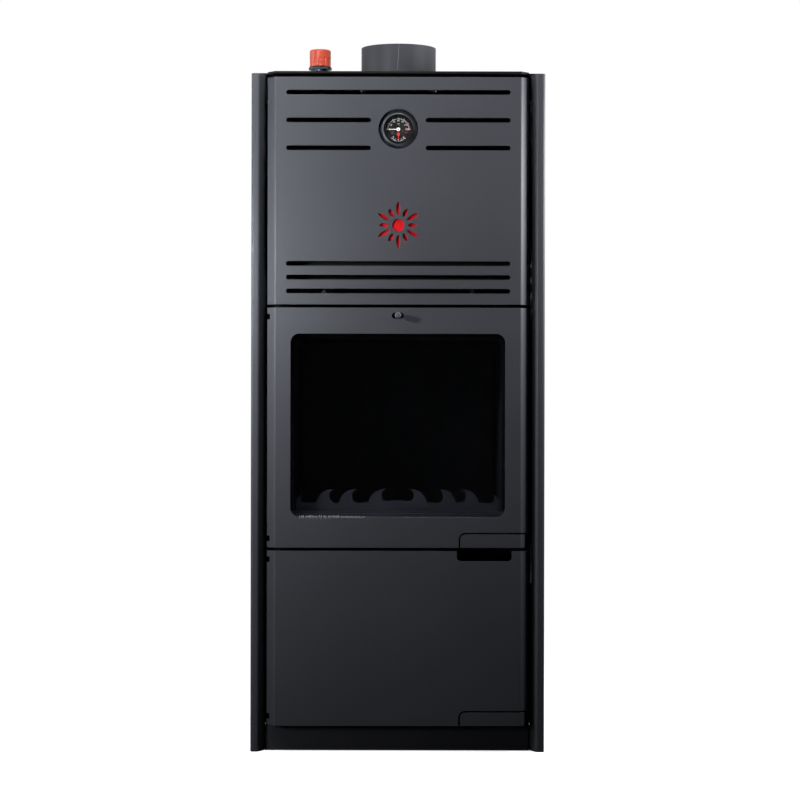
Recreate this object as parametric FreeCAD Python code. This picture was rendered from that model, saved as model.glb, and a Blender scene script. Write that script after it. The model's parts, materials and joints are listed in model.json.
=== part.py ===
import FreeCAD, Part
import math
import os

# Free-standing boiler fireplace: a water-jacketed steel firebox in a sheet casing,
# with a glazed fire door, an ash door below it and a slotted panel above.
# Frame: +Z up, front towards -Y, X across, origin on the floor under the middle of the box.

# Casing
case_width = 560.0
case_depth = 580.0
trim_height = 1292.0
case_sheet = 2.0
case_bend = 3.0
trim_face = 14.5
trim_slant_width = 11.5
trim_slant_depth = 24.0
trim_lip = 22.0
trim_setback = 5.0
rear_flange = 22.0
top_flange = 45.0
top_sheet = 4.0
top_shoulder_gap = 2.0
plinth_height = 47.0
plinth_setback = 27.0
plinth_side_gap = 0.5
plinth_flange = 25.0
rear_panel_sheet = 1.5
rear_panel_lift = 12.0
rear_panel_gap = 0.5

# Front panels: upper panel, fire door and ash door share one folded section
trim_panel_gap = 4.5
return_width = 15.0
return_depth = 18.0
panel_sheet = 3.0
panel_bend = 2.0
ash_door_bottom = 50.0
ash_door_height = 333.0
fire_door_height = 457.0
upper_top_drop = 7.0
door_gap = 6.0
upper_gap = 6.0

# Upper panel's openings
slot_height = 9.0
slot_margin = 21.0
split_slot_gap = 104.0
top_slot_drop = 29.0
split_slot_pitch = 53.0
low_slot_rise = 25.5
low_slot_pitch = 26.25
low_slot_count = 3
gauge_drop = 98.5
gauge_hole = 76.0
sun_drop = 282.0
sun_rays = 12
sun_disc_radius = 12.0
sun_ray_start = 18.0
sun_long_ray = 27.0
sun_short_ray = 18.0
sun_ray_width = 8.0
backing_sheet = 1.5
backing_margin = 10.0

# Fire door
window_side = 30.0
window_head = 49.5
window_sill = 58.5
window_corner = 17.0
glass_overlap = 9.0
glass_thickness = 4.0
glass_edge_gap = 1.5
tape_thickness = 3.0
tape_width = 8.0
tape_show = 0.8
clip_length = 30.0
clip_thickness = 2.5
clip_reach = 10.0
frame_wall = 3.0
rope_diameter = 12.0
rope_channel_gap = 0.5
rope_base_depth = 33.0
rope_lip = 8.0
seal_gap = 0.3

# Ash door
ash_frame_rise = 34.0
ash_frame_drop = 34.0
finger_left_margin = 6.5
finger_right_margin = 17.0
finger_depth = 19.5
finger_corner = 8.0

# Hinges on the left
hinge_inward = 3.5
hinge_depth = 15.5
hinge_pin_radius = 4.0
hinge_eye_radius = 8.0
hinge_lug_width = 6.0
hinge_lug_edge = 1.5
hinge_lug_thickness = 6.0
hinge_inset = 17.0
hinge_play = 0.05
hinge_lift = 0.3
knuckle_thickness = 5.0
hinge_bar = 4.0
hinge_bar_width = 14.0
hinge_notch_height = 10.5
hinge_notch_width = 5.5

# Flush handles at the lower right of each door
handle_length = 123.5
handle_return = 8.5
handle_height = 25.5
handle_rise = 0.3
handle_seam = 3.0
handle_corner = 10.0
handle_axis_inset = 9.5
handle_axis_depth = 19.0
handle_pin_radius = 4.0
handle_boss_radius = 7.0
handle_boss_height = 11.0
handle_ear = 4.0
handle_ear_gap = 0.5
handle_ear_reach = 8.0
handle_bracket_arm = 18.0
latch_width = 9.0
latch_nose = 12.0
latch_nose_depth = 5.0
latch_reach = 17.0
strike_clearance = 0.4
strike_thickness = 4.0
strike_depth = 18.0
strike_height = 16.0

# Secondary air slider on the fire door
air_slot_length = 23.0
air_slot_height = 12.0
air_slot_drop = 15.0
air_stem_radius = 3.0
air_stem_length = 10.0
air_knob_radius = 6.0
air_knob_length = 12.0
slider_length = 90.0
slider_height = 21.0
slider_sheet = 2.0
slider_play = 0.3
guide_stop = 4.0
guide_leg = 6.0

# Boiler
front_plate = 6.0
side_mat = 28.0
shell_plate = 4.0
rear_mat = 18.0
top_space = 52.0
lid_plate = 4.0
jacket = 45.0
rear_jacket = 55.0
firebox_plate = 5.0
crown_rise = 40.0
opening_inset = 4.0
fire_opening_inset = 22.0
smoke_box_width = 260.0
smoke_box_depth = 300.0
smoke_box_height = 110.0
tube_diameter = 60.3
tube_wall = 4.0
tube_rows = 3
tube_pitch_x = 76.0
tube_pitch_y = 88.0
weld_gap = 0.2
corner_ease = 8.0
flue_diameter = 150.0
flue_wall = 3.0
flue_setback = 280.0
flue_rise = 83.0
flue_hole_gap = 3.0
flue_bead_height = 27.0
flue_bead = 4.0
flue_bead_reach = 1.5
mat_gap = 0.3

# Fire chamber
hearth_rise = 6.0
hearth_plate = 6.0
grate_width = 250.0
grate_depth = 290.0
grate_rim = 10.0
grate_rim_height = 8.0
grate_drop = 10.0
grate_slot = 8.0
grate_bar = 9.0
grate_spine = 14.0
guard_setback = 6.0
guard_sheet = 4.0
guard_side_gap = 6.0
guard_base = 26.7
guard_middle = 30.6
guard_crest_shares = (0.113, 0.405, 0.628)
guard_small_share = 0.928
guard_hook = 10.0
guard_throat = 9.0
guard_flank = 35.0
guard_crest = 52.4
guard_small_crest = 42.0
guard_foot = 24.0
baffle_drop = 60.0
baffle_plate = 6.0
baffle_mouth = 105.0
baffle_side_gap = 2.0
ledge = 8.0
pan_width = 330.0
pan_front_gap = 87.0
pan_height = 72.0
pan_sheet = 2.0
pan_flare = 8.0
pan_rear_gap = 20.0
pan_lift = 0.3
pan_grip_reach = 22.0
pan_grip_width = 90.0
pan_grip_rod = 4.0

# Gauge
gauge_diameter = 56.0
gauge_depth = 28.0
gauge_recess = 6.0
gauge_wall = 3.0
gauge_lip = 1.5
gauge_lip_depth = 2.0
gauge_dial_depth = 6.0
gauge_dial_sheet = 1.0
gauge_glass_sheet = 1.5
gauge_fit = 0.3
gauge_stem_radius = 6.5
gauge_socket_radius = 12.0
gauge_socket_length = 10.0
gauge_stem_fit = 0.05
rosette_overlap = 7.0
rosette_sheet = 1.5
rosette_rise = 1.0
rosette_dip = 6.0
rosette_shoulder = 1.0
pointer_sheet = 0.6
pointer_pin_radius = 0.8
pointer_pin_play = 0.05
temperature_pointer_length = 19.0
temperature_hub_radius = 3.5
temperature_pointer_lift = 1.5
pressure_pointer_length = 11.0
pressure_hub_radius = 3.0
pressure_pointer_lift = 0.5
pressure_pivot_drop = 9.0

# Safety valve
valve_offset = 159.0
valve_setback = 305.0
valve_stub_radius = 13.5
valve_bore_radius = 9.3
valve_seat_radius = 7.0
valve_stub_rise = 2.0
valve_hex_flats = 32.0
valve_hex_height = 12.0
valve_barrel_radius = 15.0
valve_barrel_height = 30.0
valve_plate_radius = 23.5
valve_plate_height = 4.0
valve_plate_width = 34.0
valve_outlet_reach = 34.0
valve_spindle_radius = 3.0
valve_spindle_length = 26.0
valve_cap_radius = 21.5
valve_cap_height = 34.0
valve_cap_crown = 4.0
valve_cap_lift = 2.0
valve_cap_play = 0.05
cap_flutes = 12
cap_flute_radius = 3.2
cap_flute_height = 17.0

# Water sockets and primary air inlet on the back
socket_reach = 30.0
main_socket_radius = 21.0
main_socket_bore = 15.15
drain_socket_radius = 13.5
drain_socket_bore = 9.3
socket_offset = 150.0
flow_drop = 150.0
return_rise = 61.0
socket_hole_gap = 3.0
duct_width = 120.0
duct_height = 70.0
duct_wall = 3.0
duct_centre_height = 250.0
duct_reach = 18.0
flap_margin = 4.0
flap_sheet = 2.5
flap_gap = 0.4
flap_knuckle_radius = 4.5
flap_pin_radius = 3.0
flap_pin_play = 0.05
flap_hinge_rise = 8.0
flap_ear = 4.0
flap_ear_inset = 8.0
flap_ear_gap = 0.5
vent_rows = 2
vent_columns = 6
vent_length = 50.0
vent_height = 6.0
vent_pitch_x = 70.0
vent_pitch_z = 16.0
vent_drop = 60.0

# Fasteners and brackets
bracket_spacing = 284.0
bracket_width = 30.0
bracket_sheet = 3.0
bracket_foot = 24.0
upper_bracket_drop = 62.0
screw_head_radius = 5.0
screw_head_height = 4.0
screw_shank_radius = 2.5
screw_hole_gap = 0.2
screw_length = 7.0
rear_screw_rows = 4

V = FreeCAD.Vector
X_AXIS = V(1, 0, 0)
Y_AXIS = V(0, 1, 0)
Z_AXIS = V(0, 0, 1)

# Planes worked out from the sizes above
knob_reach = air_stem_length + air_knob_length
overall_depth = knob_reach + trim_setback + case_depth + socket_reach
panel_front = knob_reach - overall_depth / 2
panel_back = panel_front + panel_sheet
trim_front = panel_front + trim_setback
trim_back = trim_front + trim_slant_depth
rear_face = trim_front + case_depth
rear_inner = rear_face - case_sheet
plinth_front = panel_front + plinth_setback
rope_base = panel_front + rope_base_depth
plate_front = rope_base + rope_diameter + seal_gap
plate_back = plate_front + front_plate
shell_rear = rear_inner - rear_panel_sheet - rear_mat
firebox_rear = shell_rear - rear_jacket

half_case = case_width / 2
trim_corner = half_case - trim_face
trim_inner = trim_corner - trim_slant_width
half_panel = trim_inner - trim_panel_gap
half_flat = half_panel - return_width
half_slot = half_flat - slot_margin
half_window = half_flat - window_side
half_shell = half_case - case_sheet - side_mat
half_firebox = half_shell - jacket

ash_door_top = ash_door_bottom + ash_door_height
fire_door_bottom = ash_door_top + door_gap
fire_door_top = fire_door_bottom + fire_door_height
upper_bottom = fire_door_top + upper_gap
upper_top = trim_height - upper_top_drop
window_bottom = fire_door_bottom + window_sill
window_top = fire_door_top - window_head
boiler_base = plinth_height + shell_plate
top_plate_top = trim_height + top_sheet
shell_top = trim_height - top_space
smoke_box_floor = shell_top - smoke_box_height
flue_height = top_plate_top + flue_rise
flue_bead_bottom = top_plate_top + flue_bead_height
valve_stub_top = top_plate_top + valve_stub_rise
flow_height = shell_top - flow_drop
return_height = boiler_base + return_rise

glass_front = panel_back + tape_thickness
glass_back = glass_front + glass_thickness
half_glass = half_window + glass_overlap
half_frame = half_glass + glass_edge_gap + frame_wall
fire_frame_bottom = window_bottom - glass_overlap - glass_edge_gap - frame_wall
fire_frame_top = window_top + glass_overlap + glass_edge_gap + frame_wall
ash_frame_bottom = ash_door_bottom + ash_frame_rise
ash_frame_top = ash_door_top - ash_frame_drop
firebox_crown_height = fire_frame_top + crown_rise
hearth_height = fire_frame_bottom + hearth_rise
baffle_height = firebox_crown_height - baffle_drop
rope_channel = rope_diameter + 2 * rope_channel_gap
firebox_floor_height = ash_frame_bottom + fire_opening_inset - firebox_plate

hinge_x = hinge_inward - half_flat
hinge_y = panel_front + hinge_depth
handle_x = half_flat - handle_axis_inset
handle_y = panel_front + handle_axis_depth
handle_left = half_flat + handle_return - handle_length
finger_left = handle_left - finger_left_margin
finger_right = half_flat - finger_right_margin
pan_depth = firebox_rear - pan_rear_gap - plate_back - pan_front_gap

flue_y = panel_front + flue_setback
valve_y = panel_front + valve_setback
gauge_z = upper_top - gauge_drop
sun_z = upper_top - sun_drop
air_z = fire_door_top - air_slot_drop
hearth_top = hearth_height + hearth_plate
lid_bottom = shell_top
lid_top = shell_top + lid_plate


# Basic forms

def box(x0, x1, y0, y1, z0, z1):
    """Box between two corners."""
    return Part.makeBox(x1 - x0, y1 - y0, z1 - z0, V(x0, y0, z0))


def rod(radius, start, direction, length):
    """Cylinder from a start point along a direction."""
    return Part.makeCylinder(radius, length, V(*start), direction)


def tube(radius, bore, start, direction, length):
    """Cylinder with a bore through it."""
    return rod(radius, start, direction, length).cut(rod(bore, start, direction, length))


def fused(shapes):
    """One solid from pieces that touch or overlap."""
    result = shapes[0].fuse(shapes[1:])
    return result.removeSplitter()


def group(shapes):
    """Separate solids that share a node."""
    solids = []
    for shape in shapes:
        solids.extend(shape.Solids)
    return Part.makeCompound(solids)


def mirrored(shape):
    """The shape's image on the other side of the middle plane."""
    return shape.mirror(V(0, 0, 0), X_AXIS)


def edge_line(start, end):
    return Part.LineSegment(start, end).toShape()


def edge_arc(start, middle, end):
    return Part.Arc(start, middle, end).toShape()


def offset_path(points, distance):
    """Points of a path in plan, moved to its left by a distance with mitred corners."""
    moved = []
    count = len(points)
    for i in range(count):
        normals = []
        for j in (i - 1, i):
            if 0 <= j < count - 1:
                dx = points[j + 1][0] - points[j][0]
                dy = points[j + 1][1] - points[j][1]
                run = math.hypot(dx, dy)
                normals.append((-dy / run, dx / run))
        nx = sum(n[0] for n in normals) / len(normals)
        ny = sum(n[1] for n in normals) / len(normals)
        scale = distance / (nx * nx + ny * ny)
        moved.append((points[i][0] + nx * scale, points[i][1] + ny * scale))
    return moved


def rounded_edges(points, radii):
    """Straight and arc edges along a path in plan, with a radius at each inner point."""
    edges = []
    here = V(points[0][0], points[0][1], 0)
    for i in range(1, len(points) - 1):
        corner = V(points[i][0], points[i][1], 0)
        before = (V(points[i - 1][0], points[i - 1][1], 0) - corner).normalize()
        after = (V(points[i + 1][0], points[i + 1][1], 0) - corner).normalize()
        half = before.getAngle(after) / 2
        reach = radii[i] / math.tan(half)
        bisector = (before + after).normalize()
        centre = corner + bisector * (radii[i] / math.sin(half))
        start = corner + before * reach
        end = corner + after * reach
        edges.append(edge_line(here, start))
        edges.append(edge_arc(start, centre - bisector * radii[i], end))
        here = end
    edges.append(edge_line(here, V(points[-1][0], points[-1][1], 0)))
    return edges


def folded_sheet(points, thickness, bend, z0, z1):
    """Sheet folded along a path in plan; the path is its right face, the bends are round."""
    right_radii = [0.0]
    left_radii = [0.0]
    for i in range(1, len(points) - 1):
        ax = points[i][0] - points[i - 1][0]
        ay = points[i][1] - points[i - 1][1]
        bx = points[i + 1][0] - points[i][0]
        by = points[i + 1][1] - points[i][1]
        turns_left = ax * by - ay * bx > 0
        left_radii.append(bend if turns_left else bend + thickness)
        right_radii.append(bend + thickness if turns_left else bend)
    left = offset_path(points, thickness)
    edges = rounded_edges(points, right_radii)
    back = rounded_edges(left, left_radii)
    edges.append(edge_line(V(points[-1][0], points[-1][1], 0), V(left[-1][0], left[-1][1], 0)))
    edges.append(edge_line(V(points[0][0], points[0][1], 0), V(left[0][0], left[0][1], 0)))
    wire = Part.Wire(Part.__sortEdges__(edges + back))
    sheet = Part.Face(wire).extrude(V(0, 0, z1 - z0))
    sheet.translate(V(0, 0, z0))
    return sheet


def plan_plate(points, z0, z1):
    """Flat plate with straight sides, from its corners in plan."""
    corners = [V(x, y, z0) for x, y in points]
    wire = Part.makePolygon(corners + corners[:1])
    return Part.Face(wire).extrude(V(0, 0, z1 - z0))


def front_plate_from(edges, y0, y1):
    """Plate from a closed outline drawn in the front view."""
    wire = Part.Wire(Part.__sortEdges__(edges))
    plate = Part.Face(wire).extrude(V(0, y1 - y0, 0))
    plate.translate(V(0, y0, 0))
    return plate


def rounded_window(x0, x1, z0, z1, radius, y0, y1):
    """Rectangular block with rounded corners in the front view."""
    block = box(x0, x1, y0, y1, z0, z1)
    edges = [e for e in block.Edges if abs(e.tangentAt(e.FirstParameter).y) > 0.9]
    return block.makeFillet(radius, edges)


def front_slot(x0, x1, z, height, y0, y1):
    """Slot with round ends in the front view."""
    r = height / 2
    edges = [
        edge_line(V(x0 + r, 0, z + r), V(x1 - r, 0, z + r)),
        edge_arc(V(x1 - r, 0, z + r), V(x1, 0, z), V(x1 - r, 0, z - r)),
        edge_line(V(x1 - r, 0, z - r), V(x0 + r, 0, z - r)),
        edge_arc(V(x0 + r, 0, z - r), V(x0, 0, z), V(x0 + r, 0, z + r)),
    ]
    return front_plate_from(edges, y0, y1)


def frame_ring(half_width, z0, z1, wall, y0, y1):
    """Rectangular ring of walls, open to front and back."""
    outer = box(-half_width, half_width, y0, y1, z0, z1)
    inner = box(wall - half_width, half_width - wall, y0, y1, z0 + wall, z1 - wall)
    return outer.cut(inner)


# Casing

def front_path():
    """Outer face of the folded front section: left return, flat, right return."""
    return [
        (-half_panel, panel_front + return_depth),
        (-half_flat, panel_front),
        (half_flat, panel_front),
        (half_panel, panel_front + return_depth),
    ]


def folded_front(z0, z1):
    """Folded front panel between two heights."""
    return folded_sheet(front_path(), panel_sheet, panel_bend, z0, z1)


def side_panel():
    """Left side: folded trim at the front, flange at the back and top."""
    path = [
        (rear_flange - half_case, rear_face),
        (-half_case, rear_face),
        (-half_case, trim_front),
        (-trim_corner, trim_front),
        (-trim_inner, trim_back),
        (-trim_inner, trim_back + trim_lip),
    ]
    sheet = folded_sheet(path, case_sheet, case_bend, 0, trim_height)
    inset = case_sheet / 2
    flange = plan_plate([
        (inset - half_case, rear_face - inset),
        (inset - half_case, trim_front + case_bend),
        (-trim_corner, trim_front + case_bend),
        (-trim_inner - case_sheet, trim_back + case_bend),
        (-trim_inner - case_sheet, plate_back),
        (top_flange - half_case, plate_back),
        (top_flange - half_case, rear_face - inset),
    ], trim_height - case_sheet, trim_height)
    return fused([sheet, flange]).cut(screw_holes())


def plinth():
    """Folded kick plate under the boiler, set back behind the doors."""
    half = trim_inner - plinth_side_gap
    rear = rear_inner - rear_panel_sheet - rear_panel_gap
    path = [(-half, rear), (-half, plinth_front), (half, plinth_front), (half, rear)]
    sheet = folded_sheet(path, case_sheet, case_bend, 0, plinth_height)
    inset = case_sheet / 2
    outer = box(inset - half, half - inset, plinth_front + inset, rear, 0, case_sheet)
    inner_half = half - plinth_flange
    inner = box(-inner_half, inner_half, plinth_front + plinth_flange, rear, 0, case_sheet)
    corners = folded_sheet(path, half / 2, case_bend, 0, case_sheet)
    return fused([sheet, outer.cut(inner).common(corners)])


def duct_clearance(gap, y0, y1):
    """Block that cuts the air duct's way through a plate."""
    half = duct_width / 2 + gap
    rise = duct_height / 2 + gap
    return box(-half, half, y0, y1, duct_centre_height - rise, duct_centre_height + rise)


def socket_places():
    """Each rear socket's side, height, outer radius and bore."""
    return [
        (-socket_offset, flow_height, main_socket_radius, main_socket_bore),
        (socket_offset, return_height, main_socket_radius, main_socket_bore),
        (-socket_offset, return_height, drain_socket_radius, drain_socket_bore),
    ]


def rear_panel():
    """Removable back sheet behind the side panels' flanges."""
    half = half_case - case_sheet - case_bend - rear_panel_gap
    top = trim_height - case_sheet - rear_panel_gap
    front = rear_inner - rear_panel_sheet
    sheet = box(-half, half, front, rear_inner, rear_panel_lift, top)
    cuts = [duct_clearance(socket_hole_gap, front, rear_inner)]
    for x, z, radius, _ in socket_places():
        cuts.append(rod(radius + socket_hole_gap, (x, front, z), Y_AXIS, rear_panel_sheet))
    for row in range(vent_rows):
        z = top - vent_drop - row * vent_pitch_z
        for column in range(vent_columns):
            x = (column - (vent_columns - 1) / 2) * vent_pitch_x
            left = x - vent_length / 2
            cuts.append(front_slot(left, left + vent_length, z, vent_height, front, rear_inner))
    return sheet.cut(cuts + screw_holes())


def top_plate():
    """Top sheet with corners cut back over the folded front."""
    shoulder = trim_back + top_shoulder_gap
    outline = front_path() + [
        (half_panel, shoulder),
        (half_case, shoulder),
        (half_case, rear_face),
        (-half_case, rear_face),
        (-half_case, shoulder),
        (-half_panel, shoulder),
    ]
    plate = plan_plate(outline, trim_height, top_plate_top)
    flue = rod(flue_diameter / 2 + flue_hole_gap, (0, flue_y, trim_height), Z_AXIS, top_sheet)
    stub = rod(valve_stub_radius + flue_hole_gap, valve_point(trim_height), Z_AXIS, top_sheet)
    return plate.cut([flue, stub])


def sun_ray(angle, length):
    """Leaf-shaped cut-out that points away from the sun's disc."""
    root = V(0, 0, sun_ray_start)
    tip = V(0, 0, sun_ray_start + length)
    middle = sun_ray_start + length / 2
    edges = [
        edge_arc(root, V(sun_ray_width / 2, 0, middle), tip),
        edge_arc(tip, V(-sun_ray_width / 2, 0, middle), root),
    ]
    ray = front_plate_from(edges, panel_front, panel_back)
    ray.rotate(V(0, 0, 0), Y_AXIS, angle)
    ray.translate(V(0, 0, sun_z))
    return ray


def sun_cuts():
    """Round cut-out with long and short rays in turn."""
    cuts = [rod(sun_disc_radius, (0, panel_front, sun_z), Y_AXIS, panel_sheet)]
    for i in range(sun_rays):
        length = sun_short_ray if i % 2 else sun_long_ray
        cuts.append(sun_ray(i * 360.0 / sun_rays, length))
    return cuts


def upper_panel():
    """Slotted front panel over the heat exchanger, with the gauge hole and the sun."""
    half = half_slot
    split = split_slot_gap / 2
    top_slot = upper_top - top_slot_drop
    cuts = [front_slot(-half, half, top_slot, slot_height, panel_front, panel_back)]
    for row in (1, 2):
        z = top_slot - row * split_slot_pitch
        cuts.append(front_slot(-half, -split, z, slot_height, panel_front, panel_back))
        cuts.append(front_slot(split, half, z, slot_height, panel_front, panel_back))
    for row in range(low_slot_count):
        z = upper_bottom + low_slot_rise + row * low_slot_pitch
        cuts.append(front_slot(-half, half, z, slot_height, panel_front, panel_back))
    cuts.append(rod(gauge_hole / 2, (0, panel_front, gauge_z), Y_AXIS, panel_sheet))
    return folded_front(upper_bottom, upper_top).cut(cuts + sun_cuts())


def sun_backing():
    """Red sheet laid flat on the panel's back, behind the sun."""
    half = sun_ray_start + sun_long_ray + backing_margin
    return box(-half, half, panel_back, panel_back + backing_sheet, sun_z - half, sun_z + half)


def bracket_heights():
    """Heights of the upper panel's lower and upper bracket arms."""
    return [upper_bottom + low_slot_rise - bracket_foot / 2, upper_top - upper_bracket_drop]


def panel_brackets():
    """Angles that carry the upper panel on the boiler's front plate."""
    brackets = []
    for z in bracket_heights():
        for side in (-1, 1):
            x = side * bracket_spacing / 2
            left = x - bracket_width / 2
            right = x + bracket_width / 2
            arm = box(left, right, panel_back, plate_front, z - bracket_sheet, z)
            foot = box(left, right, plate_front - bracket_sheet, plate_front, z, z + bracket_foot)
            brackets.append(fused([arm, foot]).cut(screw_holes()))
    return group(brackets)


def screw_places():
    """Each casing screw's head seat, and the way its shank points."""
    places = []
    for z in bracket_heights():
        for side in (-1, 1):
            x = side * bracket_spacing / 2
            places.append((x, plate_front - bracket_sheet, z + bracket_foot / 2, 1))
    span = trim_height - 2 * rear_panel_lift - 2 * rear_flange
    for row in range(rear_screw_rows):
        z = rear_panel_lift + rear_flange + row * span / (rear_screw_rows - 1)
        for side in (-1, 1):
            places.append((side * (half_case - rear_flange / 2), rear_face, z, -1))
    return places


def screw_holes():
    """Cutters for the shanks of all casing screws."""
    radius = screw_shank_radius + screw_hole_gap
    return [rod(radius, (x, y, z), V(0, way, 0), screw_length) for x, y, z, way in screw_places()]


def casing_screws():
    """Screws of the panel brackets and of the back sheet."""
    screws = []
    for x, y, z, way in screw_places():
        head = rod(screw_head_radius, (x, y, z), V(0, -way, 0), screw_head_height)
        shank = rod(screw_shank_radius, (x, y, z), V(0, way, 0), screw_length)
        screws.append(fused([head, shank]))
    return group(screws)


# Boiler

def opening_half():
    """Half width of the two openings in the front plate."""
    return half_firebox - opening_inset


def boiler_front_plate():
    """Heavy plate that carries both doors and closes the water jacket's front."""
    plate = box(-trim_inner, trim_inner, plate_front, plate_back, boiler_base, shell_top)
    half = opening_half()
    cuts = []
    for low, high in ((fire_frame_bottom, fire_frame_top), (ash_frame_bottom, ash_frame_top)):
        z0 = low + fire_opening_inset
        z1 = high - fire_opening_inset
        cuts.append(box(-half, half, plate_front, plate_back, z0, z1))
    cuts.append(rod(gauge_stem_radius, (0, plate_front, gauge_z), Y_AXIS, front_plate))
    return plate.cut(cuts + screw_holes())


def boiler_shell():
    """Outer wall of the water jacket: two side plates and a rear plate, welded edge to edge."""
    inner = half_shell - shell_plate
    side = box(inner, half_shell, plate_back, shell_rear, boiler_base, shell_top)
    rear = box(-inner, inner, shell_rear - shell_plate, shell_rear, boiler_base, shell_top)
    cuts = [duct_clearance(weld_gap, firebox_rear, shell_rear)]
    for x, z, _, bore in socket_places():
        cuts.append(rod(bore, (x, shell_rear - shell_plate, z), Y_AXIS, shell_plate))
    return group([side, mirrored(side), rear.cut(cuts)])


def boiler_bottom():
    """Bottom plate, standing on the plinth."""
    half = trim_inner - plinth_side_gap
    return box(-half, half, plate_front, shell_rear, plinth_height, boiler_base)


def boiler_lid():
    """Top plate of the water jacket and smoke box."""
    lid = box(-half_shell, half_shell, plate_front, shell_rear, lid_bottom, lid_top)
    flue = rod(flue_diameter / 2 - flue_wall, (0, flue_y, lid_bottom), Z_AXIS, lid_plate)
    port = rod(valve_bore_radius, valve_point(lid_bottom), Z_AXIS, lid_plate)
    return lid.cut([flue, port])


def firebox_shell():
    """Inner wall of the water jacket round the fire and ash chambers."""
    outer = half_firebox + firebox_plate
    rear = firebox_rear + firebox_plate
    path = [(outer, plate_back), (outer, rear), (-outer, rear), (-outer, plate_back)]
    low = firebox_floor_height + firebox_plate
    shell = folded_sheet(path, firebox_plate, firebox_plate, low, firebox_crown_height)
    return shell.cut(duct_clearance(weld_gap, firebox_rear, rear))


def firebox_floor():
    """Floor of the ash chamber."""
    outer = half_firebox + firebox_plate
    top = firebox_floor_height + firebox_plate
    return box(-outer, outer, plate_back, firebox_rear + firebox_plate, firebox_floor_height, top)


def tube_places():
    """Plan places of the smoke tubes."""
    places = []
    for i in range(tube_rows):
        for j in range(tube_rows):
            x = (i - (tube_rows - 1) / 2) * tube_pitch_x
            y = flue_y + (j - (tube_rows - 1) / 2) * tube_pitch_y
            places.append((x, y))
    return places


def tube_holes(z0, thickness):
    """Cutters for the smoke tubes' holes in a tube plate."""
    radius = tube_diameter / 2 + weld_gap
    return [rod(radius, (x, y, z0), Z_AXIS, thickness) for x, y in tube_places()]


def firebox_crown():
    """Lower tube plate, over the fire."""
    outer = half_firebox + firebox_plate
    rear = firebox_rear + firebox_plate
    top = firebox_crown_height + firebox_plate
    plate = box(-outer, outer, plate_back, rear, firebox_crown_height, top)
    return plate.cut(tube_holes(firebox_crown_height, firebox_plate))


def smoke_box():
    """Open-topped box under the lid, with the upper tube plate as its floor."""
    half = smoke_box_width / 2
    front = flue_y - smoke_box_depth / 2
    rear = flue_y + smoke_box_depth / 2
    block = box(-half, half, front, rear, smoke_box_floor, lid_bottom)
    w = firebox_plate
    hollow = box(w - half, half - w, front + w, rear - w, smoke_box_floor + w, lid_bottom)
    return block.cut([hollow] + tube_holes(smoke_box_floor, w))


def smoke_tubes():
    """Smoke tubes through the water, from the fire to the smoke box."""
    length = smoke_box_floor + firebox_plate - firebox_crown_height
    bore = tube_diameter / 2 - tube_wall
    tubes = []
    for x, y in tube_places():
        tubes.append(tube(tube_diameter / 2, bore, (x, y, firebox_crown_height), Z_AXIS, length))
    return group(tubes)


def flue_collar():
    """Rolled collar for the flue pipe, with the bead that stops it."""
    radius = flue_diameter / 2
    bore = radius - flue_wall
    pipe = tube(radius, bore, (0, flue_y, lid_top), Z_AXIS, flue_height - lid_top)
    bead = tube(radius + flue_bead_reach, bore, (0, flue_y, flue_bead_bottom), Z_AXIS, flue_bead)
    return fused([pipe, bead])


def insulation_mats():
    """Mineral wool at both sides and behind the boiler."""
    low = boiler_base
    high = trim_height - top_flange
    rear = shell_rear
    inner = half_case - case_sheet - mat_gap
    left = box(-inner, -half_shell - mat_gap, plate_back + case_bend, rear, low, high)
    back_face = rear_inner - rear_panel_sheet - mat_gap
    back = box(-half_shell, half_shell, rear + mat_gap, back_face, low, high)
    cuts = [duct_clearance(mat_gap, rear, back_face)]
    for x, z, radius, _ in socket_places():
        cuts.append(rod(radius + mat_gap, (x, rear, z), Y_AXIS, back_face - rear))
    return group([left, mirrored(left), back.cut(cuts)])


def water_sockets():
    """Threaded sockets: flow, return and drain at the back, gauge at the front."""
    length = rear_face + socket_reach - shell_rear
    sockets = []
    for x, z, radius, bore in socket_places():
        sockets.append(tube(radius, bore, (x, shell_rear, z), Y_AXIS, length))
    start = (0, plate_front - gauge_socket_length, gauge_z)
    bore = gauge_stem_radius + gauge_stem_fit
    sockets.append(tube(gauge_socket_radius, bore, start, Y_AXIS, gauge_socket_length))
    return group(sockets)


# Primary air inlet

def flap_axis():
    """Height and depth of the flap's hinge line."""
    duct_end = rear_face + duct_reach
    z = duct_centre_height + duct_height / 2 + flap_hinge_rise
    return duct_end + flap_gap + flap_sheet / 2, z


def air_duct():
    """Air duct through the rear water jacket, with the flap's two ears."""
    half = duct_width / 2
    rise = duct_height / 2
    end = rear_face + duct_reach
    z0 = duct_centre_height - rise
    z1 = duct_centre_height + rise
    outer = box(-half, half, firebox_rear, end, z0, z1)
    w = duct_wall
    inner = box(w - half, half - w, firebox_rear, end, z0 + w, z1 - w)
    axis_y, axis_z = flap_axis()
    ear_radius = flap_pin_radius + flap_ear
    x0 = half - flap_ear_inset - flap_ear
    x1 = half - flap_ear_inset
    foot = box(x0, x1, end - 3 * flap_ear, end, z1 - w, axis_z + flap_pin_radius)
    eye = rod(ear_radius, (x0, axis_y, axis_z), X_AXIS, flap_ear)
    clear = box(x0, x1, end, axis_y + ear_radius, z0, z1)
    hole = rod(flap_pin_radius + flap_pin_play, (x0, axis_y, axis_z), X_AXIS, flap_ear)
    ear = fused([foot, eye]).cut([clear, hole])
    return fused([outer.cut(inner), ear, mirrored(ear)])


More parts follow.
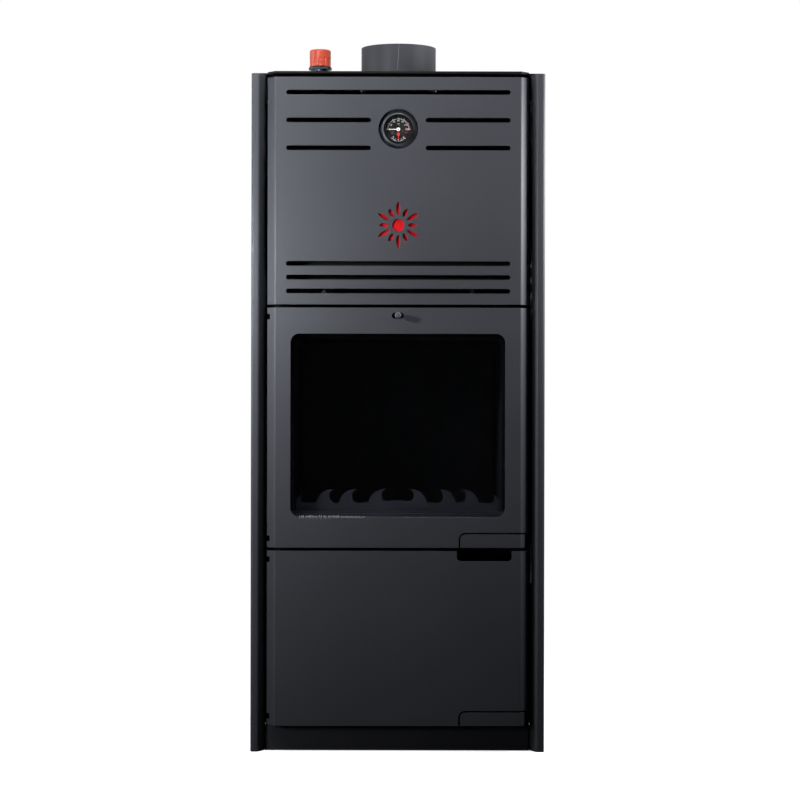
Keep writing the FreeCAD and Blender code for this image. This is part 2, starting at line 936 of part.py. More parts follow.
def air_flap():
    """Hanging flap with trunnions that turn in the duct's ears."""
    axis_y, axis_z = flap_axis()
    half = duct_width / 2 + flap_margin
    z0 = duct_centre_height - duct_height / 2 - flap_margin
    z1 = duct_centre_height + duct_height / 2
    front = axis_y - flap_sheet / 2
    back = axis_y + flap_sheet / 2
    leaf = box(-half, half, front, back, z0, z1)
    neck_half = duct_width / 2 - flap_ear_inset - flap_ear - flap_ear_gap
    neck = box(-neck_half, neck_half, front, back, z1, axis_z)
    knuckle = rod(flap_knuckle_radius, (-neck_half, axis_y, axis_z), X_AXIS, 2 * neck_half)
    reach = neck_half + flap_ear_gap + flap_ear
    pins = rod(flap_pin_radius, (-reach, axis_y, axis_z), X_AXIS, 2 * reach)
    eyelet_z = z0 + 3 * flap_margin
    eyelet = rod(flap_margin / 2, (0, front, eyelet_z), Y_AXIS, flap_sheet)
    return fused([leaf, neck, knuckle, pins]).cut(eyelet)


# Fire chamber

def chamber_plate(half, front, z0, z1):
    """Plate across the fire chamber, with its rear corners cut off for the shell's bends."""
    outline = [
        (-half, front),
        (half, front),
        (half, firebox_rear - corner_ease),
        (half - corner_ease, firebox_rear),
        (corner_ease - half, firebox_rear),
        (-half, firebox_rear - corner_ease),
    ]
    return plan_plate(outline, z0, z1)


def hearth_plate_piece():
    """Plate between the chambers, open under the grate."""
    plate = chamber_plate(half_firebox, plate_back, hearth_height, hearth_top)
    half = grate_width / 2 - grate_rim
    middle = (plate_back + firebox_rear) / 2
    reach = grate_depth / 2 - grate_rim
    return plate.cut(box(-half, half, middle - reach, middle + reach, hearth_height, hearth_top))


def grate():
    """Cast grate: a rim on the hearth plate, a body through it and rows of slots."""
    middle = (plate_back + firebox_rear) / 2
    half = grate_width / 2
    reach = grate_depth / 2
    top = hearth_top + grate_rim_height
    rim = box(-half, half, middle - reach, middle + reach, hearth_top, top)
    inset = grate_rim + grate_rim / 5
    body = box(inset - half, half - inset, middle - reach + inset, middle + reach - inset,
               hearth_top - grate_drop, hearth_top)
    casting = fused([rim, body])
    margin = inset + grate_bar
    pitch = grate_slot + grate_bar
    count = int((grate_width - 2 * margin + grate_bar) / pitch)
    cuts = []
    for i in range(count):
        x = (i - (count - 1) / 2) * pitch
        for y0, y1 in ((middle - reach + margin, middle - grate_spine / 2),
                       (middle + grate_spine / 2, middle + reach - margin)):
            cuts.append(box(x - grate_slot / 2, x + grate_slot / 2, y0, y1, hearth_top - grate_drop, top))
    return casting.cut(cuts)


def wave_side(half):
    """Top edge of the log guard's right half: waves whose crests curl over towards the middle."""
    crests = [(share * half, guard_crest) for share in guard_crest_shares]
    crests.append((guard_small_share * half, guard_small_crest))
    edges = []
    low = guard_middle
    here = V(0, 0, hearth_top + low)
    for i, (x, rise) in enumerate(crests):
        share = (rise - guard_base) / (guard_crest - guard_base)
        tip = V(x, 0, hearth_top + rise)
        trough = V(x - guard_hook * share, 0, hearth_top + low)
        throat = V(x + guard_throat * share, 0, trough.z + (tip.z - trough.z) * 0.4)
        if i + 1 < len(crests):
            next_x = crests[i + 1][0] - guard_hook
            foot = V(min(x + guard_flank, next_x), 0, hearth_top + guard_base)
        else:
            foot = V(half, 0, hearth_top + guard_base)
        swell = V(tip.x + (foot.x - tip.x) * 0.6, 0, foot.z + (tip.z - foot.z) * 0.8)
        if trough.x - here.x > seal_gap:
            edges.append(edge_line(here, trough))
        edges.append(edge_arc(trough, throat, tip))
        edges.append(edge_arc(tip, swell, foot))
        here = foot
        low = guard_base
    return edges, here


def log_guard():
    """Wave-cut plate that keeps the logs off the glass, on two feet."""
    half = opening_half() - guard_side_gap
    front = plate_back + guard_setback
    back = front + guard_sheet
    edges, end = wave_side(half)
    low = V(half, 0, hearth_top)
    middle = V(0, 0, hearth_top)
    first = V(0, 0, hearth_top + guard_middle)
    edges.append(edge_line(end, low))
    edges.append(edge_line(low, middle))
    edges.append(edge_line(middle, first))
    side = front_plate_from(edges, front, back)
    foot_x = half / 2
    foot = box(foot_x - guard_foot, foot_x + guard_foot, back, back + guard_foot,
               hearth_top, hearth_top + guard_sheet)
    right = fused([side, foot])
    return fused([right, mirrored(right)])


def baffle():
    """Flame plate under the crown, short of the front so the smoke can pass."""
    half = half_firebox - baffle_side_gap
    front = plate_back + baffle_mouth
    return chamber_plate(half, front, baffle_height, baffle_height + baffle_plate)


def baffle_ledges():
    """Bars on the firebox walls that carry the baffle."""
    front = plate_back + baffle_mouth
    rear = firebox_rear - corner_ease
    bar = box(-half_firebox, ledge - half_firebox, front, rear, baffle_height - ledge, baffle_height)
    return group([bar, mirrored(bar)])


def ash_pan():
    """Flared sheet tray with a rod grip at its front."""
    rear = firebox_rear - pan_rear_gap
    low = firebox_floor_height + firebox_plate + pan_lift
    middle = rear - pan_depth / 2

    def tapered(inset, z0, z1):
        wires = []
        for z, flare in ((z0, pan_flare), (z1, 0.0)):
            hx = pan_width / 2 - flare - inset
            hy = pan_depth / 2 - flare - inset
            front = middle - hy
            back = middle + hy
            corners = [V(-hx, front, z), V(hx, front, z), V(hx, back, z), V(-hx, back, z)]
            wires.append(Part.makePolygon(corners + corners[:1]))
        return Part.makeLoft(wires, True, True)

    high = low + pan_height
    tray = tapered(0.0, low, high).cut(tapered(pan_sheet, low + pan_sheet, high))
    grip_z = high - 3 * pan_grip_rod
    face = middle - pan_depth / 2 + pan_sheet / 2
    tip = middle - pan_depth / 2 - pan_grip_reach
    half = pan_grip_width / 2
    leg_radius = pan_grip_rod * 0.75
    reach = face - tip + pan_flare / 4
    legs = [rod(leg_radius, (side * half, tip, grip_z), Y_AXIS, reach) for side in (-1, 1)]
    bar_half = half + 2 * pan_grip_rod
    bar = rod(pan_grip_rod, (-bar_half, tip, grip_z), X_AXIS, 2 * bar_half)
    return fused([tray, bar] + legs)


# Doors

def hinge_heights(bottom, top):
    """Heights of a door's two lugs, at their middles."""
    return [bottom + hinge_inset, top - hinge_inset]


def door_sheet(bottom, top):
    """Folded door skin, notched for its lugs and cut away round its handle."""
    skin = folded_front(bottom, top)
    cuts = []
    half_notch = hinge_notch_height / 2
    for z in hinge_heights(bottom, top):
        cuts.append(box(-half_panel - panel_sheet, hinge_notch_width - half_panel,
                        panel_front, panel_front + 2 * return_depth, z - half_notch, z + half_notch))
    seam_top = bottom + handle_rise + handle_height + handle_seam
    seam_left = handle_left - handle_seam
    deep = panel_front + 2 * return_depth
    pocket = box(seam_left, half_panel + panel_sheet, panel_front, deep, bottom, seam_top)
    corner = handle_corner + handle_seam
    pocket = pocket.makeFillet(corner, [edge_across(pocket, seam_left, seam_top)])
    cuts.append(pocket)
    return skin.cut(cuts)


def edge_across(shape, x, z):
    """The shape's front-to-back edge at a place in the front view."""
    for edge in shape.Edges:
        ends = [vertex.Point for vertex in edge.Vertexes]
        if len(ends) == 2 and all(abs(p.x - x) < 1e-6 and abs(p.z - z) < 1e-6 for p in ends):
            return edge
    raise ValueError("no edge at that place")


def fire_door_panel():
    """Fire door's skin with the window and the air slider's slot."""
    half = half_window
    window = rounded_window(-half, half, window_bottom, window_top, window_corner, panel_front, panel_back)
    reach = air_slot_length / 2
    slot = front_slot(-reach, reach, air_z, air_slot_height, panel_front, panel_back)
    return door_sheet(fire_door_bottom, fire_door_top).cut([window, slot])


def ash_door_panel():
    """Ash door's skin with the finger recess in its top edge."""
    above = ash_door_top + finger_corner
    recess = rounded_window(finger_left, finger_right, ash_door_top - finger_depth, above + finger_corner,
                            finger_corner, panel_front, panel_back)
    return door_sheet(ash_door_bottom, ash_door_top).cut(recess)


def rope_channel_walls(bottom, top):
    """Box wall behind a door's skin, ending in the channel that holds the rope."""
    lip_end = rope_base + rope_lip
    wall = frame_ring(half_frame, bottom, top, frame_wall, panel_back, lip_end)
    width = rope_channel + 2 * frame_wall
    base = frame_ring(half_frame, bottom, top, width, rope_base - frame_wall, rope_base)
    inset = rope_channel + frame_wall
    base_front = rope_base - frame_wall
    lip = frame_ring(half_frame - inset, bottom + inset, top - inset, frame_wall, base_front, lip_end)
    return [wall, base, lip]


def fire_door_frame():
    """Welded frame that holds the glass and the rope."""
    return fused(rope_channel_walls(fire_frame_bottom, fire_frame_top))


def ash_door_frame():
    """Welded pan that closes the ash door and holds its rope."""
    leaf = box(-half_frame, half_frame, rope_base - frame_wall, rope_base, ash_frame_bottom, ash_frame_top)
    return fused(rope_channel_walls(ash_frame_bottom, ash_frame_top) + [leaf])


def door_rope(bottom, top):
    """Sealing rope in its channel, with round corners."""
    inset = frame_wall + rope_channel / 2
    r = rope_diameter / 2
    y = rope_base + r
    turn = r + 2 * rope_channel_gap
    x = half_frame - inset
    z0 = bottom + inset
    z1 = top - inset
    k = turn * (1 - math.sqrt(0.5))
    edges = []
    for sx, sz in ((1, 1), (-1, 1), (-1, -1), (1, -1)):
        zc = z1 if sz > 0 else z0
        start = V(sx * x, y, zc - sz * turn)
        middle = V(sx * (x - k), y, zc - sz * k)
        end = V(sx * (x - turn), y, zc)
        edges.append(edge_arc(start, middle, end))
    edges.append(edge_line(V(turn - x, y, z1), V(x - turn, y, z1)))
    edges.append(edge_line(V(turn - x, y, z0), V(x - turn, y, z0)))
    edges.append(edge_line(V(-x, y, z0 + turn), V(-x, y, z1 - turn)))
    edges.append(edge_line(V(x, y, z0 + turn), V(x, y, z1 - turn)))
    path = Part.Wire(Part.__sortEdges__(edges))
    first = path.OrderedEdges[0]
    start = first.valueAt(first.FirstParameter)
    section = Part.Wire(Part.makeCircle(r, start, first.tangentAt(first.FirstParameter)))
    rope = Part.Wire(path).makePipeShell([section], True, False)
    return rope


def glass_pane():
    """Ceramic glass behind the window."""
    low = window_bottom - glass_overlap
    high = window_top + glass_overlap
    return box(-half_glass, half_glass, glass_front, glass_back, low, high)


def glass_tape():
    """Flat fibre tape between the door's skin and the glass."""
    half = half_window
    outer = box(-half - tape_width, half + tape_width, panel_back, glass_front,
                window_bottom - tape_width, window_top + tape_width)
    shown = half - tape_show
    inner = rounded_window(-shown, shown, window_bottom + tape_show, window_top - tape_show,
                           window_corner - tape_show, panel_back, glass_front)
    return outer.cut(inner)


def glass_clips():
    """Clips on the frame's walls that press the glass on its tape."""
    wall = half_frame - frame_wall
    clips = []
    quarter = (window_top - window_bottom) / 4
    for z in (window_bottom + quarter, window_top - quarter):
        clip = box(-wall, clip_reach - wall, glass_back, glass_back + clip_thickness,
                   z - clip_length / 2, z + clip_length / 2)
        clips.extend([clip, mirrored(clip)])
    return group(clips)


def door_hinge(bottom, top):
    """Hinge bar with its knuckles, and the two pins."""
    bar_x = -half_frame
    y0 = hinge_y - hinge_bar_width / 2
    y1 = hinge_y + hinge_bar_width / 2
    heights = hinge_heights(bottom, top)
    seat_low = heights[0] + hinge_lug_thickness / 2 + hinge_lift
    seat_high = heights[1] + hinge_lug_thickness / 2 + hinge_lift
    pieces = [box(bar_x - hinge_bar, bar_x, y0, y1, seat_low, seat_high + knuckle_thickness)]
    pins = []
    for seat in (seat_low, seat_high):
        arm = box(hinge_x, bar_x, hinge_y - hinge_eye_radius, hinge_y + hinge_eye_radius,
                  seat, seat + knuckle_thickness)
        eye = rod(hinge_eye_radius, (hinge_x, hinge_y, seat), Z_AXIS, knuckle_thickness)
        pieces.extend([arm, eye])
        length = knuckle_thickness + hinge_lift + hinge_lug_thickness
        pin_end = seat + knuckle_thickness - length
        pins.append(rod(hinge_pin_radius, (hinge_x, hinge_y, pin_end), Z_AXIS, length))
    bar = fused(pieces).cut(pins)
    return group([bar] + pins)


def hinge_lugs():
    """Lugs on the front plate that carry both doors."""
    lugs = []
    for bottom, top in ((fire_door_bottom, fire_door_top), (ash_door_bottom, ash_door_top)):
        for z in hinge_heights(bottom, top):
            low = z - hinge_lug_thickness / 2
            left = hinge_x + hinge_lug_edge
            arm = box(left, left + hinge_lug_width, hinge_y, plate_front, low, low + hinge_lug_thickness)
            eye = rod(hinge_eye_radius, (hinge_x, hinge_y, low), Z_AXIS, hinge_lug_thickness)
            hole = rod(hinge_pin_radius + hinge_play, (hinge_x, hinge_y, low), Z_AXIS, hinge_lug_thickness)
            lugs.append(fused([arm, eye]).cut(hole))
    return group(lugs)


# Handles

def boss_span(bottom):
    """Heights between which the handle's boss sits."""
    middle = bottom + handle_rise + handle_height / 2
    return middle - handle_boss_height / 2, middle + handle_boss_height / 2


def nose_tip():
    """The latch nose's furthest place to the right."""
    return handle_x + latch_width / 2 + latch_nose


def door_handle(bottom):
    """Flush handle cut from the folded section, with its boss and latch finger."""
    z0 = bottom + handle_rise
    z1 = z0 + handle_height
    share = handle_return / return_width
    path = [
        (handle_left, panel_front),
        (half_flat, panel_front),
        (half_flat + handle_return, panel_front + return_depth * share),
    ]
    plate = folded_sheet(path, panel_sheet, panel_bend, z0, z1)
    plate = plate.makeFillet(handle_corner, [edge_across(plate, handle_left, z1)])
    low, high = boss_span(bottom)
    half = latch_width / 2
    web = box(handle_x - half, handle_x + half, panel_back, handle_y, low, high)
    boss = rod(handle_boss_radius, (handle_x, handle_y, low), Z_AXIS, high - low)
    tip_y = handle_y + latch_reach
    finger = box(handle_x - half, handle_x + half, handle_y, tip_y, low, high)
    nose = box(handle_x - half, nose_tip(), tip_y - latch_nose_depth, tip_y, low, high)
    bore = rod(handle_pin_radius + hinge_play, (handle_x, handle_y, low), Z_AXIS, high - low)
    return fused([plate, web, boss, finger, nose]).cut(bore)


def ear_span(bottom):
    """Lowest and highest faces of the handle bracket's ears."""
    low, high = boss_span(bottom)
    reach = handle_ear_gap + handle_ear
    return low - reach, high + reach


def handle_bracket(bottom, frame_bottom):
    """Bracket under the door's frame, with the two ears that hold the handle's pin."""
    low, high = ear_span(bottom)
    y0 = handle_y - handle_ear_reach
    y1 = handle_y + handle_ear_reach
    left = handle_x - handle_bracket_arm
    right = handle_x + handle_ear_reach
    strip = box(left, left + handle_ear, y0, y1, low, frame_bottom)
    lower = box(left, right, y0, y1, low, low + handle_ear)
    upper = box(left, right, y0, y1, high - handle_ear, high)
    hole = rod(handle_pin_radius, (handle_x, handle_y, low), Z_AXIS, high - low)
    return fused([strip, lower, upper]).cut(hole)


def handle_pin(bottom):
    """Pin that the handle turns on."""
    low, high = ear_span(bottom)
    return rod(handle_pin_radius, (handle_x, handle_y, low), Z_AXIS, high - low)


def latch_strikes():
    """Strikes on the front plate, just clear of the latch noses as the doors swing."""
    reach = math.hypot(nose_tip() - hinge_x, handle_y + latch_reach - hinge_y)
    x0 = hinge_x + reach + strike_clearance
    strikes = []
    for bottom in (fire_door_bottom, ash_door_bottom):
        low, high = boss_span(bottom)
        middle = (low + high) / 2
        strikes.append(box(x0, x0 + strike_thickness, plate_front - strike_depth, plate_front,
                           middle - strike_height / 2, middle + strike_height / 2))
    return group(strikes)


# Secondary air slider

def air_slider():
    """Sliding plate behind the fire door's skin, with the stem through its slot."""
    front = panel_back + slider_play
    half = slider_length / 2
    low = air_z - slider_height / 2
    plate = box(-half, half, front, front + slider_sheet, low, low + slider_height)
    stem_start = panel_front - air_stem_length
    stem = rod(air_stem_radius, (0, stem_start, air_z), Y_AXIS, front - stem_start)
    return fused([plate, stem])


def air_knob():
    """Turned knob on the slider's stem."""
    front = panel_front - air_stem_length - air_knob_length
    knob = rod(air_knob_radius, (0, front, air_z), Y_AXIS, air_knob_length)
    rim = [e for e in knob.Edges if e.Curve.TypeId == "Part::GeomCircle"]
    return knob.makeFillet(air_knob_length / 5, rim)


def slider_guide():
    """Bridge behind the slider, with legs that end its travel."""
    inner = slider_length / 2 + (air_slot_length / 2 - air_stem_radius) + guide_stop
    outer = inner + guide_leg
    low = air_z - slider_height / 2
    high = low + slider_height
    front = panel_back + 2 * slider_play + slider_sheet
    bridge = box(-outer, outer, front, front + slider_sheet, low, high)
    leg = box(-outer, -inner, panel_back, front, low, high)
    return fused([bridge, leg, mirrored(leg)])


# Gauge

def gauge_front():
    """Front plane of the gauge's rim, behind the panel."""
    return panel_front + gauge_recess


def gauge_rosette():
    """Ring behind the panel's hole, sloping back from the gauge to the hole's edge."""
    hole = gauge_hole / 2
    outer = hole + rosette_overlap
    inner = gauge_diameter / 2 + gauge_fit
    groove = panel_back + rosette_dip
    back = groove + rosette_sheet
    profile = [
        V(inner, panel_back - rosette_rise, gauge_z),
        V(hole - gauge_fit, groove, gauge_z),
        V(hole + rosette_shoulder, panel_back, gauge_z),
        V(outer, panel_back, gauge_z),
        V(outer, back, gauge_z),
        V(inner, back, gauge_z),
    ]
    face = Part.Face(Part.makePolygon(profile + profile[:1]))
    return face.revolve(V(0, 0, gauge_z), Y_AXIS, 360.0)


def gauge_bore():
    """Radius of the case inside its wall."""
    return gauge_diameter / 2 - gauge_wall


def gauge_case():
    """Gauge case with its rim and the stem that screws into the boiler."""
    front = gauge_front()
    can = rod(gauge_diameter / 2, (0, front, gauge_z), Y_AXIS, gauge_depth)
    mouth = rod(gauge_bore() - gauge_lip, (0, front, gauge_z), Y_AXIS, gauge_lip_depth)
    well_start = front + gauge_lip_depth
    dial_seat = front + gauge_dial_depth + gauge_dial_sheet
    well = rod(gauge_bore(), (0, well_start, gauge_z), Y_AXIS, dial_seat - well_start)
    can_end = front + gauge_depth
    works = rod(gauge_bore() - gauge_lip, (0, dial_seat, gauge_z), Y_AXIS, can_end - gauge_wall - dial_seat)
    stem_start = can_end - gauge_wall
    stem = rod(gauge_stem_radius, (0, stem_start, gauge_z), Y_AXIS, plate_front - stem_start)
    return fused([can.cut([mouth, well, works]), stem])


def pointer_pivots():
    """Heights of the two pivots and how far each pointer stands off the dial."""
    return [
        (gauge_z, temperature_pointer_lift),
        (gauge_z - pressure_pivot_drop, pressure_pointer_lift),
    ]


def gauge_dial():
    """Dial with a pin for each pointer."""
    face = gauge_front() + gauge_dial_depth
    disc = rod(gauge_bore() - gauge_fit, (0, face, gauge_z), Y_AXIS, gauge_dial_sheet)
    pieces = [disc]
    for z, lift in pointer_pivots():
        length = lift + pointer_sheet / 2
        pieces.append(rod(pointer_pin_radius, (0, face - length, z), Y_AXIS, length))
    return fused(pieces)


def gauge_glass():
    """Gauge glass behind the rim's lip."""
    start = gauge_front() + gauge_lip_depth
    return rod(gauge_bore() - gauge_fit, (0, start, gauge_z), Y_AXIS, gauge_glass_sheet)


def pointer(z, lift, hub_radius, length, angle):
    """Tapered pointer with a hub, laid at an angle from straight up."""
    back = gauge_front() + gauge_dial_depth - lift
    front = back - pointer_sheet
    tip = hub_radius / 8
    root = hub_radius / 4
    tail = [V(-root, front, -hub_radius), V(root, front, -hub_radius)]
    corners = tail + [V(tip, front, length), V(-tip, front, length)]
    blade = Part.Face(Part.makePolygon(corners + corners[:1])).extrude(V(0, pointer_sheet, 0))
    hub = rod(hub_radius, (0, front, 0), Y_AXIS, pointer_sheet)
    hole = rod(pointer_pin_radius + pointer_pin_play, (0, front, 0), Y_AXIS, pointer_sheet)
    shape = fused([blade, hub]).cut(hole)
    shape.rotate(V(0, 0, 0), Y_AXIS, angle)
    shape.translate(V(0, 0, z))
    return shape


def temperature_pointer():
    z, lift = pointer_pivots()[0]
    return pointer(z, lift, temperature_hub_radius, temperature_pointer_length, -90.0)


def pressure_pointer():
    z, lift = pointer_pivots()[1]
    return pointer(z, lift, pressure_hub_radius, pressure_pointer_length, 180.0)


# Safety valve

def valve_point(z):
    return (-valve_offset, valve_y, z)


def valve_stub():
    """Pipe stub from the water jacket up through the top plate."""
    return tube(valve_stub_radius, valve_bore_radius, valve_point(lid_top), Z_AXIS, valve_stub_top - lid_top)


def valve_plate_bottom():
    return valve_stub_top + valve_hex_height + valve_barrel_height


def valve_body():
    """Valve body: hexagon, barrel, side outlet, flanged head and spindle."""
    hex_radius = valve_hex_flats / math.sqrt(3)
    corners = []
    for i in range(6):
        angle = math.radians(60 * i)
        x = hex_radius * math.cos(angle) - valve_offset
        corners.append((x, hex_radius * math.sin(angle) + valve_y))
    hexagon = plan_plate(corners, valve_stub_top, valve_stub_top + valve_hex_height)
    barrel_top = valve_hex_height + valve_barrel_height
    barrel = rod(valve_barrel_radius, valve_point(valve_stub_top), Z_AXIS, barrel_top)
    outlet_z = valve_stub_top + valve_hex_height + valve_barrel_height / 2
    outlet = rod(valve_stub_radius, valve_point(outlet_z), Y_AXIS, valve_outlet_reach)
    outlet_bore = rod(valve_bore_radius, valve_point(outlet_z), Y_AXIS, valve_outlet_reach)
    head_z = valve_plate_bottom()
    head = rod(valve_plate_radius, valve_point(head_z), Z_AXIS, valve_plate_height)
    half = valve_plate_width / 2
    left = -valve_offset - valve_plate_radius
    right = valve_plate_radius - valve_offset
    flats = box(left, right, valve_y - half, valve_y + half, head_z, head_z + valve_plate_height)
    spindle_end = valve_plate_height + valve_spindle_length
    spindle = rod(valve_spindle_radius, valve_point(head_z), Z_AXIS, spindle_end)
    inlet = rod(valve_seat_radius, valve_point(valve_stub_top), Z_AXIS, outlet_z - valve_stub_top)
    solid = fused([hexagon, barrel, outlet, head.common(flats), spindle])
    return solid.cut([outlet_bore, inlet])


def valve_cap():
    """Red turning cap with a domed crown and a fluted skirt."""
    bottom = valve_plate_bottom() + valve_plate_height + valve_cap_lift
    cap = rod(valve_cap_radius, valve_point(bottom), Z_AXIS, valve_cap_height)
    crown = [e for e in cap.Edges if e.Curve.TypeId == "Part::GeomCircle" and e.CenterOfMass.z > bottom + 1]
    cap = cap.makeFillet(valve_cap_crown, crown)
    cuts = [rod(valve_spindle_radius + valve_cap_play, valve_point(bottom), Z_AXIS,
                valve_spindle_length - valve_cap_lift + valve_cap_play)]
    for i in range(cap_flutes):
        angle = 2 * math.pi * i / cap_flutes
        reach = valve_cap_radius + cap_flute_radius / 3
        place = (reach * math.cos(angle) - valve_offset, reach * math.sin(angle) + valve_y, bottom)
        cuts.append(rod(cap_flute_radius, place, Z_AXIS, cap_flute_height))
    return cap.cut(cuts)


def build_nodes():
    """Every piece by its node's name."""
    left_side = side_panel()
    return {
        "plinth": plinth(),
        "left_side_panel": left_side,
        "right_side_panel": mirrored(left_side),
        "rear_panel": rear_panel(),
        "top_plate": top_plate(),
        "upper_panel": upper_panel(),
        "sun_backing": sun_backing(),
        "panel_brackets": panel_brackets(),
        "casing_screws": casing_screws(),
        "boiler_front_plate": boiler_front_plate(),
        "boiler_shell": boiler_shell(),
        "boiler_bottom": boiler_bottom(),
        "boiler_lid": boiler_lid(),
        "firebox_shell": firebox_shell(),
        "firebox_floor": firebox_floor(),
        "firebox_crown": firebox_crown(),
        "smoke_box": smoke_box(),
        "smoke_tubes": smoke_tubes(),
        "flue_collar": flue_collar(),
        "insulation_mats": insulation_mats(),
        "water_sockets": water_sockets(),
        "air_duct": air_duct(),
        "air_flap": air_flap(),
        "hearth_plate": hearth_plate_piece(),
        "grate": grate(),
        "log_guard": log_guard(),
        "baffle": baffle(),
        "baffle_ledges": baffle_ledges(),
        "ash_pan": ash_pan(),
        "hinge_lugs": hinge_lugs(),
        "latch_strikes": latch_strikes(),
        "fire_door_panel": fire_door_panel(),
        "fire_door_frame": fire_door_frame(),
        "fire_door_rope": door_rope(fire_frame_bottom, fire_frame_top),
        "fire_door_hinge": door_hinge(fire_door_bottom, fire_door_top),
        "glass_pane": glass_pane(),
        "glass_tape": glass_tape(),
        "glass_clips": glass_clips(),
        "fire_handle": door_handle(fire_door_bottom),
        "fire_handle_bracket": handle_bracket(fire_door_bottom, fire_frame_bottom),
        "fire_handle_pin": handle_pin(fire_door_bottom),
        "air_slider": air_slider(),
        "air_knob": air_knob(),
        "slider_guide": slider_guide(),
        "ash_door_panel": ash_door_panel(),
        "ash_door_frame": ash_door_frame(),
        "ash_door_rope": door_rope(ash_frame_bottom, ash_frame_top),
        "ash_door_hinge": door_hinge(ash_door_bottom, ash_door_top),
        "ash_handle": door_handle(ash_door_bottom),
        "ash_handle_bracket": handle_bracket(ash_door_bottom, ash_frame_bottom),
        "ash_handle_pin": handle_pin(ash_door_bottom),
        "gauge_rosette": gauge_rosette(),
        "gauge_case": gauge_case(),
        "gauge_dial": gauge_dial(),
        "gauge_glass": gauge_glass(),
        "temperature_pointer": temperature_pointer(),
        "pressure_pointer": pressure_pointer(),
        "valve_stub": valve_stub(),
        "valve_body": valve_body(),
        "valve_cap": valve_cap(),
    }


os.makedirs("parts", exist_ok=True)
for name, shape in build_nodes().items():
    shape.exportStep("parts/" + name + ".step")
    print("%-22s solids %2d valid %s volume %.0f" % (name, len(shape.Solids), shape.isValid(), shape.Volume))
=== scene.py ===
import json
import math

import bmesh
import bpy
from mathutils import Matrix, Vector, noise


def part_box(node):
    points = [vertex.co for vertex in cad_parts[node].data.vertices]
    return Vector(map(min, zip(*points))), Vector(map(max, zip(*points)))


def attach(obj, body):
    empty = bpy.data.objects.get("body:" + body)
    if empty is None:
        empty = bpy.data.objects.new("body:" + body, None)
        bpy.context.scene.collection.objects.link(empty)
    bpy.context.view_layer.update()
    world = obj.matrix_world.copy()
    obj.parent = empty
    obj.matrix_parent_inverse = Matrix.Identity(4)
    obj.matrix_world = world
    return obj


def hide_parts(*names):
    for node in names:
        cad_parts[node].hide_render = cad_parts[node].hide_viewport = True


bl_info = {
    "name": "Boiler fireplace",
    "version": (1, 0, 0),
    "blender": (4, 5, 0),
    "location": "View3D > Sidebar > Stove",
    "description": "Finishes and small parts of a free-standing boiler fireplace on its packed frame",
    "category": "Object",
}

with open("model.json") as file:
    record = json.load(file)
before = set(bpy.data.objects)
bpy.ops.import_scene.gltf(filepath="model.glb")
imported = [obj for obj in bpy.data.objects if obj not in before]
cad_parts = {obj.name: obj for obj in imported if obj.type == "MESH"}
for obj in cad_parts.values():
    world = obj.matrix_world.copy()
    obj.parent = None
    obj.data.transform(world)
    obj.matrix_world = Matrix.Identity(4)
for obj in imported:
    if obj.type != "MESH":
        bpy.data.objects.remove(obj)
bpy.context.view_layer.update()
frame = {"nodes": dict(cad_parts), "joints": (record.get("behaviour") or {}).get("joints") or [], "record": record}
nodes = frame["nodes"]
MM = 0.001
WELD_DISTANCE = 0.001 * MM
SHARP_FROM = math.radians(40)

# Paint films: roughness from, roughness to and specular level
SATIN = (0.46, 0.58, 0.4)
# Film of the casing paint's darker copy: painted shade on the flue collar and log guard
SHADED_SATIN = (0.46, 0.58, 0.35)
# Film of the casing paint's lighter copy: a painted highlight on the air knob
KNOB_SATIN = (0.34, 0.44, 0.5)
DULL = (0.58, 0.72, 0.2)
ENAMEL = (0.3, 0.4, 0.5)
OVER_WELD = (0.4, 0.5, 0.5)


def linear(hex_colour):
    """Turn an sRGB hex colour into the linear values that Blender works in."""
    values = [int(hex_colour[i:i + 2], 16) / 255 for i in (1, 3, 5)]
    return tuple(v / 12.92 if v <= 0.04045 else ((v + 0.055) / 1.055) ** 2.4 for v in values)


def colour(label, text, hex_colour):
    return bpy.props.FloatVectorProperty(
        name=label, description=text, default=linear(hex_colour), subtype="COLOR", min=0, max=1)


def length(label, text, millimetres):
    return bpy.props.FloatProperty(
        name=label, description=text, default=millimetres * MM, min=0, unit="LENGTH", precision=5)


class StoveColours(bpy.types.PropertyGroup):
    """Colours of the finishes."""
    casing: colour("Casing paint", "Anthracite heat-resistant paint", "#4a4c53")
    ironwork: colour("Black paint", "Black heat-resistant paint of top, frames and brackets", "#161618")
    # Lighter grey of a band on the fire door's sill and the boiler's front plate: painted light over their shade
    ash: colour("Ash film", "Ash on the fire door's sill", "#44464d")
    backing: colour("Red paint", "Sheet behind the sun", "#f2202a")
    cap: colour("Cap plastic", "Safety valve's cap", "#ff6b50")
    gauge: colour("Gauge plastic", "Gauge's case and dial", "#0e0e10")
    rosette: colour("Ring plastic", "Ring round the gauge", "#4c5056")
    print_white: colour("Dial print", "Scales and figures of the gauge", "#f4f4f0")
    pointer_red: colour("Red pointer", "Pressure pointer", "#d81f26")
    pane: colour("Window glass", "Smoky tint of the fire door's glass", "#a9abb4")
    rope: colour("Glass rope", "Door ropes and window tape", "#e4e2d8")
    fray: colour("Frayed yarn", "Loose yarn of the window tape, grey with soot", "#a6a7aa")
    wool: colour("Mineral wool", "Mats around the boiler", "#83775c")
    floor: colour("Floor", "Studio floor, as the camera sees it", "#fbfbfb")
    floor_bounce: colour("Floor's bounce", "Studio floor, as it lights the stove", "#242424")
    # Painted shade on the floor under the plinth
    floor_covered: colour("Covered floor", "Studio floor under the plinth", "#1c1c1c")


